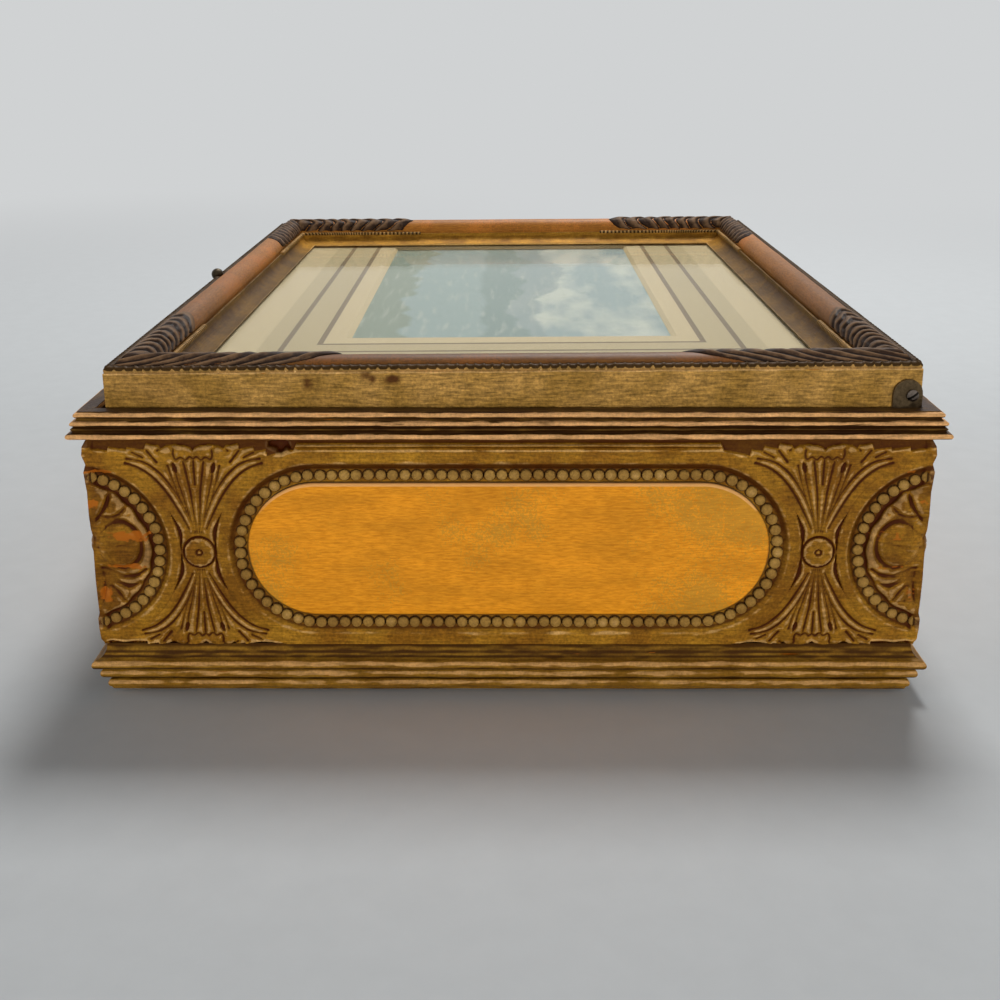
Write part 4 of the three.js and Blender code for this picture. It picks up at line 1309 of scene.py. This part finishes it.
class KEEPSAKE_OT_lid(bpy.types.Operator):
    """Lid rails with their notched edges and corner leaves"""
    bl_idname = "keepsake.lid"
    bl_label = "Lid frame"

    def execute(self, context):
        sizes = context.scene.keepsake_sizes
        colours = context.scene.keepsake_colours
        stray = sizes.waviness * 1000
        side_gold = painted_wood("Gold paint on the lid's side", colours.lid_gold, "#8E6A2E", "#C49A60",
                                 colours.grime_and_shade, 0.3, 0.3, 0.48, streak=0.42, mottle=0.32)
        # Painted light and shade: the round moulding lighter towards the far rail and darker towards the near
        # one, the cove light on the far rail and darker elsewhere
        torus = stained_wood("Rubbed red-brown moulding", colours.torus, "#6E4218", "#A8642A", 0.5, 0.52, 0.5,
                             (-0.148, 0.148, 1.75, 0.55))
        cove = painted_wood("Gold-brown paint in the cove", "#86601E", "#6A4A16", "#A08050", colours.grime_and_shade,
                            0.2, 0.15, 0.5, sheen=0.1, ends=(-0.13, -0.1, 1.9, 0.6))
        notch = painted_wood("Gold paint on the notched edge", "#A88048", "#8A6A38", "#D8B47C", "#1C0C04",
                             0.28, 0.1, 0.5, sheen=0.08)
        bronze = leaf_bronze(colours)
        loop, finish = lid_loop()
        for k, side in enumerate(SIDES):
            rail = moulding(f"lid_rail_{side}", side, loop, 0, stray * 0.7, 500 + 10 * k, 2, True, finish)
            dress(rail, "lid", "lid_wood", side_gold, torus, cove)
            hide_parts(f"lid_{side}")
            dress(notched_edge(side, sizes, 600 + 10 * k), "lid", "lid_wood", notch)
        corners = {"front_right": (("front", 1), ("right", -1)), "back_right": (("right", 1), ("back", -1)),
                   "back_left": (("back", 1), ("left", -1)), "front_left": (("left", 1), ("front", -1))}
        for k, (corner, arms) in enumerate(corners.items()):
            parts = [leaf_arm(f"leaf_{corner}_{side}", side, end, sizes, 700 + 10 * k + n)
                     for n, (side, end) in enumerate(arms)]
            leaf = dress(joined(f"carved_leaf_{corner}", parts), "lid", "leaf_bronze", bronze)
            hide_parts(f"leaf_{corner}")
            parts = [ribbed_arm(f"rib_{corner}_{side}", side, end, sizes) for side, end in arms]
            dress(joined(f"ribbed_fillet_{corner}", parts), "lid", "lid_wood", notch)
        return {"FINISHED"}


class KEEPSAKE_OT_picture(bpy.types.Operator):
    """Mat, print, glass and backing in the lid"""
    bl_idname = "keepsake.picture"
    bl_label = "Framed picture"

    def execute(self, context):
        colours = context.scene.keepsake_colours
        mat = dress(cut_mat(context.scene.keepsake_sizes), "lid", "mat_board", mat_board(colours))
        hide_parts("picture_mat")
        card = plain_surface("Brown backing card", colours.card, 0.9, 500.0, (1, 1, 1), 0.12)
        paint(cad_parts["picture_print"], lake_print())
        paint(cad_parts["glass"], clear_glass())
        paint(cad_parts["backing_board"], card)
        return {"FINISHED"}


class KEEPSAKE_OT_fittings(bpy.types.Operator):
    """Hinge brackets, pivots, screws, brads and the knob"""
    bl_idname = "keepsake.fittings"
    bl_label = "Fittings"

    def execute(self, context):
        colours = context.scene.keepsake_colours
        steel = dark_metal("Darkened steel", colours.steel, 0.45, 0.4)
        # The slot in a pivot pin's head, painted as shade: its middle's two places in metres, and its angle
        pin_slot = (0.10246, 0.08174, 0.6)
        bright = dark_metal("Worn steel", "#7C7066", 0.4, 0.4, pin_slot)
        for side in ("right", "left"):
            bracket = worn_copy(f"bracket_{side}", f"worn_bracket_{side}", 0.00012)
            dress(bracket, "case", "dark_steel", steel)
            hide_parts(f"bracket_{side}")
        for node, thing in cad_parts.items():
            if node.startswith(("screw_", "brad_")):
                paint(thing, steel)
            elif node.startswith("pivot_"):
                paint(thing, bright)
        paint(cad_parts["knob"], dark_metal("Tarnished brass", colours.brass, 0.35, 0.2))
        return {"FINISHED"}


class KEEPSAKE_OT_inside(bpy.types.Operator):
    """Linings and the bottom board"""
    bl_idname = "keepsake.inside"
    bl_label = "Inside"

    def execute(self, context):
        colours = context.scene.keepsake_colours
        paper = plain_surface("Plain lining paper on card", colours.lining, 0.9, 350.0, (1, 1, 1), 0.15)
        board = plain_surface("Unfinished softwood board", colours.plain_wood, 0.7, 160.0, (0.08, 1, 1), 0.2)
        for node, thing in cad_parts.items():
            if node.startswith("lining_") or node == "floor_lining":
                paint(thing, paper)
        paint(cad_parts["bottom_board"], board)
        return {"FINISHED"}


class KEEPSAKE_OT_stage(bpy.types.Operator):
    """Floor, backdrop, lamps and camera"""
    bl_idname = "keepsake.stage"
    bl_label = "Stage"

    def execute(self, context):
        colours = context.scene.keepsake_colours
        studio_floor(colours)
        studio_lamps(context)
        studio_world(context, colours)
        studio_camera(context)
        context.scene.view_settings.view_transform = "Standard"
        return {"FINISHED"}


class KEEPSAKE_PT_panel(bpy.types.Panel):
    """Sizes, colours and the steps of the build"""
    bl_label = "Keepsake Box"
    bl_idname = "KEEPSAKE_PT_panel"
    bl_space_type = "VIEW_3D"
    bl_region_type = "UI"
    bl_category = "Keepsake Box"

    def draw(self, context):
        for group in (context.scene.keepsake_sizes, context.scene.keepsake_colours):
            for key in group.__annotations__:
                self.layout.prop(group, key)
        for step in steps:
            self.layout.operator(step.bl_idname)


steps = (KEEPSAKE_OT_sides, KEEPSAKE_OT_mouldings, KEEPSAKE_OT_lid, KEEPSAKE_OT_picture, KEEPSAKE_OT_fittings,
         KEEPSAKE_OT_inside, KEEPSAKE_OT_stage)
classes = (KeepsakeSizes, KeepsakeColours) + steps + (KEEPSAKE_PT_panel,)


def register():
    for item in classes:
        bpy.utils.register_class(item)
    bpy.types.Scene.keepsake_sizes = bpy.props.PointerProperty(type=KeepsakeSizes)
    bpy.types.Scene.keepsake_colours = bpy.props.PointerProperty(type=KeepsakeColours)


def unregister():
    del bpy.types.Scene.keepsake_colours
    del bpy.types.Scene.keepsake_sizes
    for item in reversed(classes):
        bpy.utils.unregister_class(item)


def main():
    register()
    bpy.ops.keepsake.sides()
    bpy.ops.keepsake.mouldings()
    bpy.ops.keepsake.lid()
    bpy.ops.keepsake.picture()
    bpy.ops.keepsake.fittings()
    bpy.ops.keepsake.inside()
    bpy.ops.keepsake.stage()


if __name__ == "__main__":
    main()
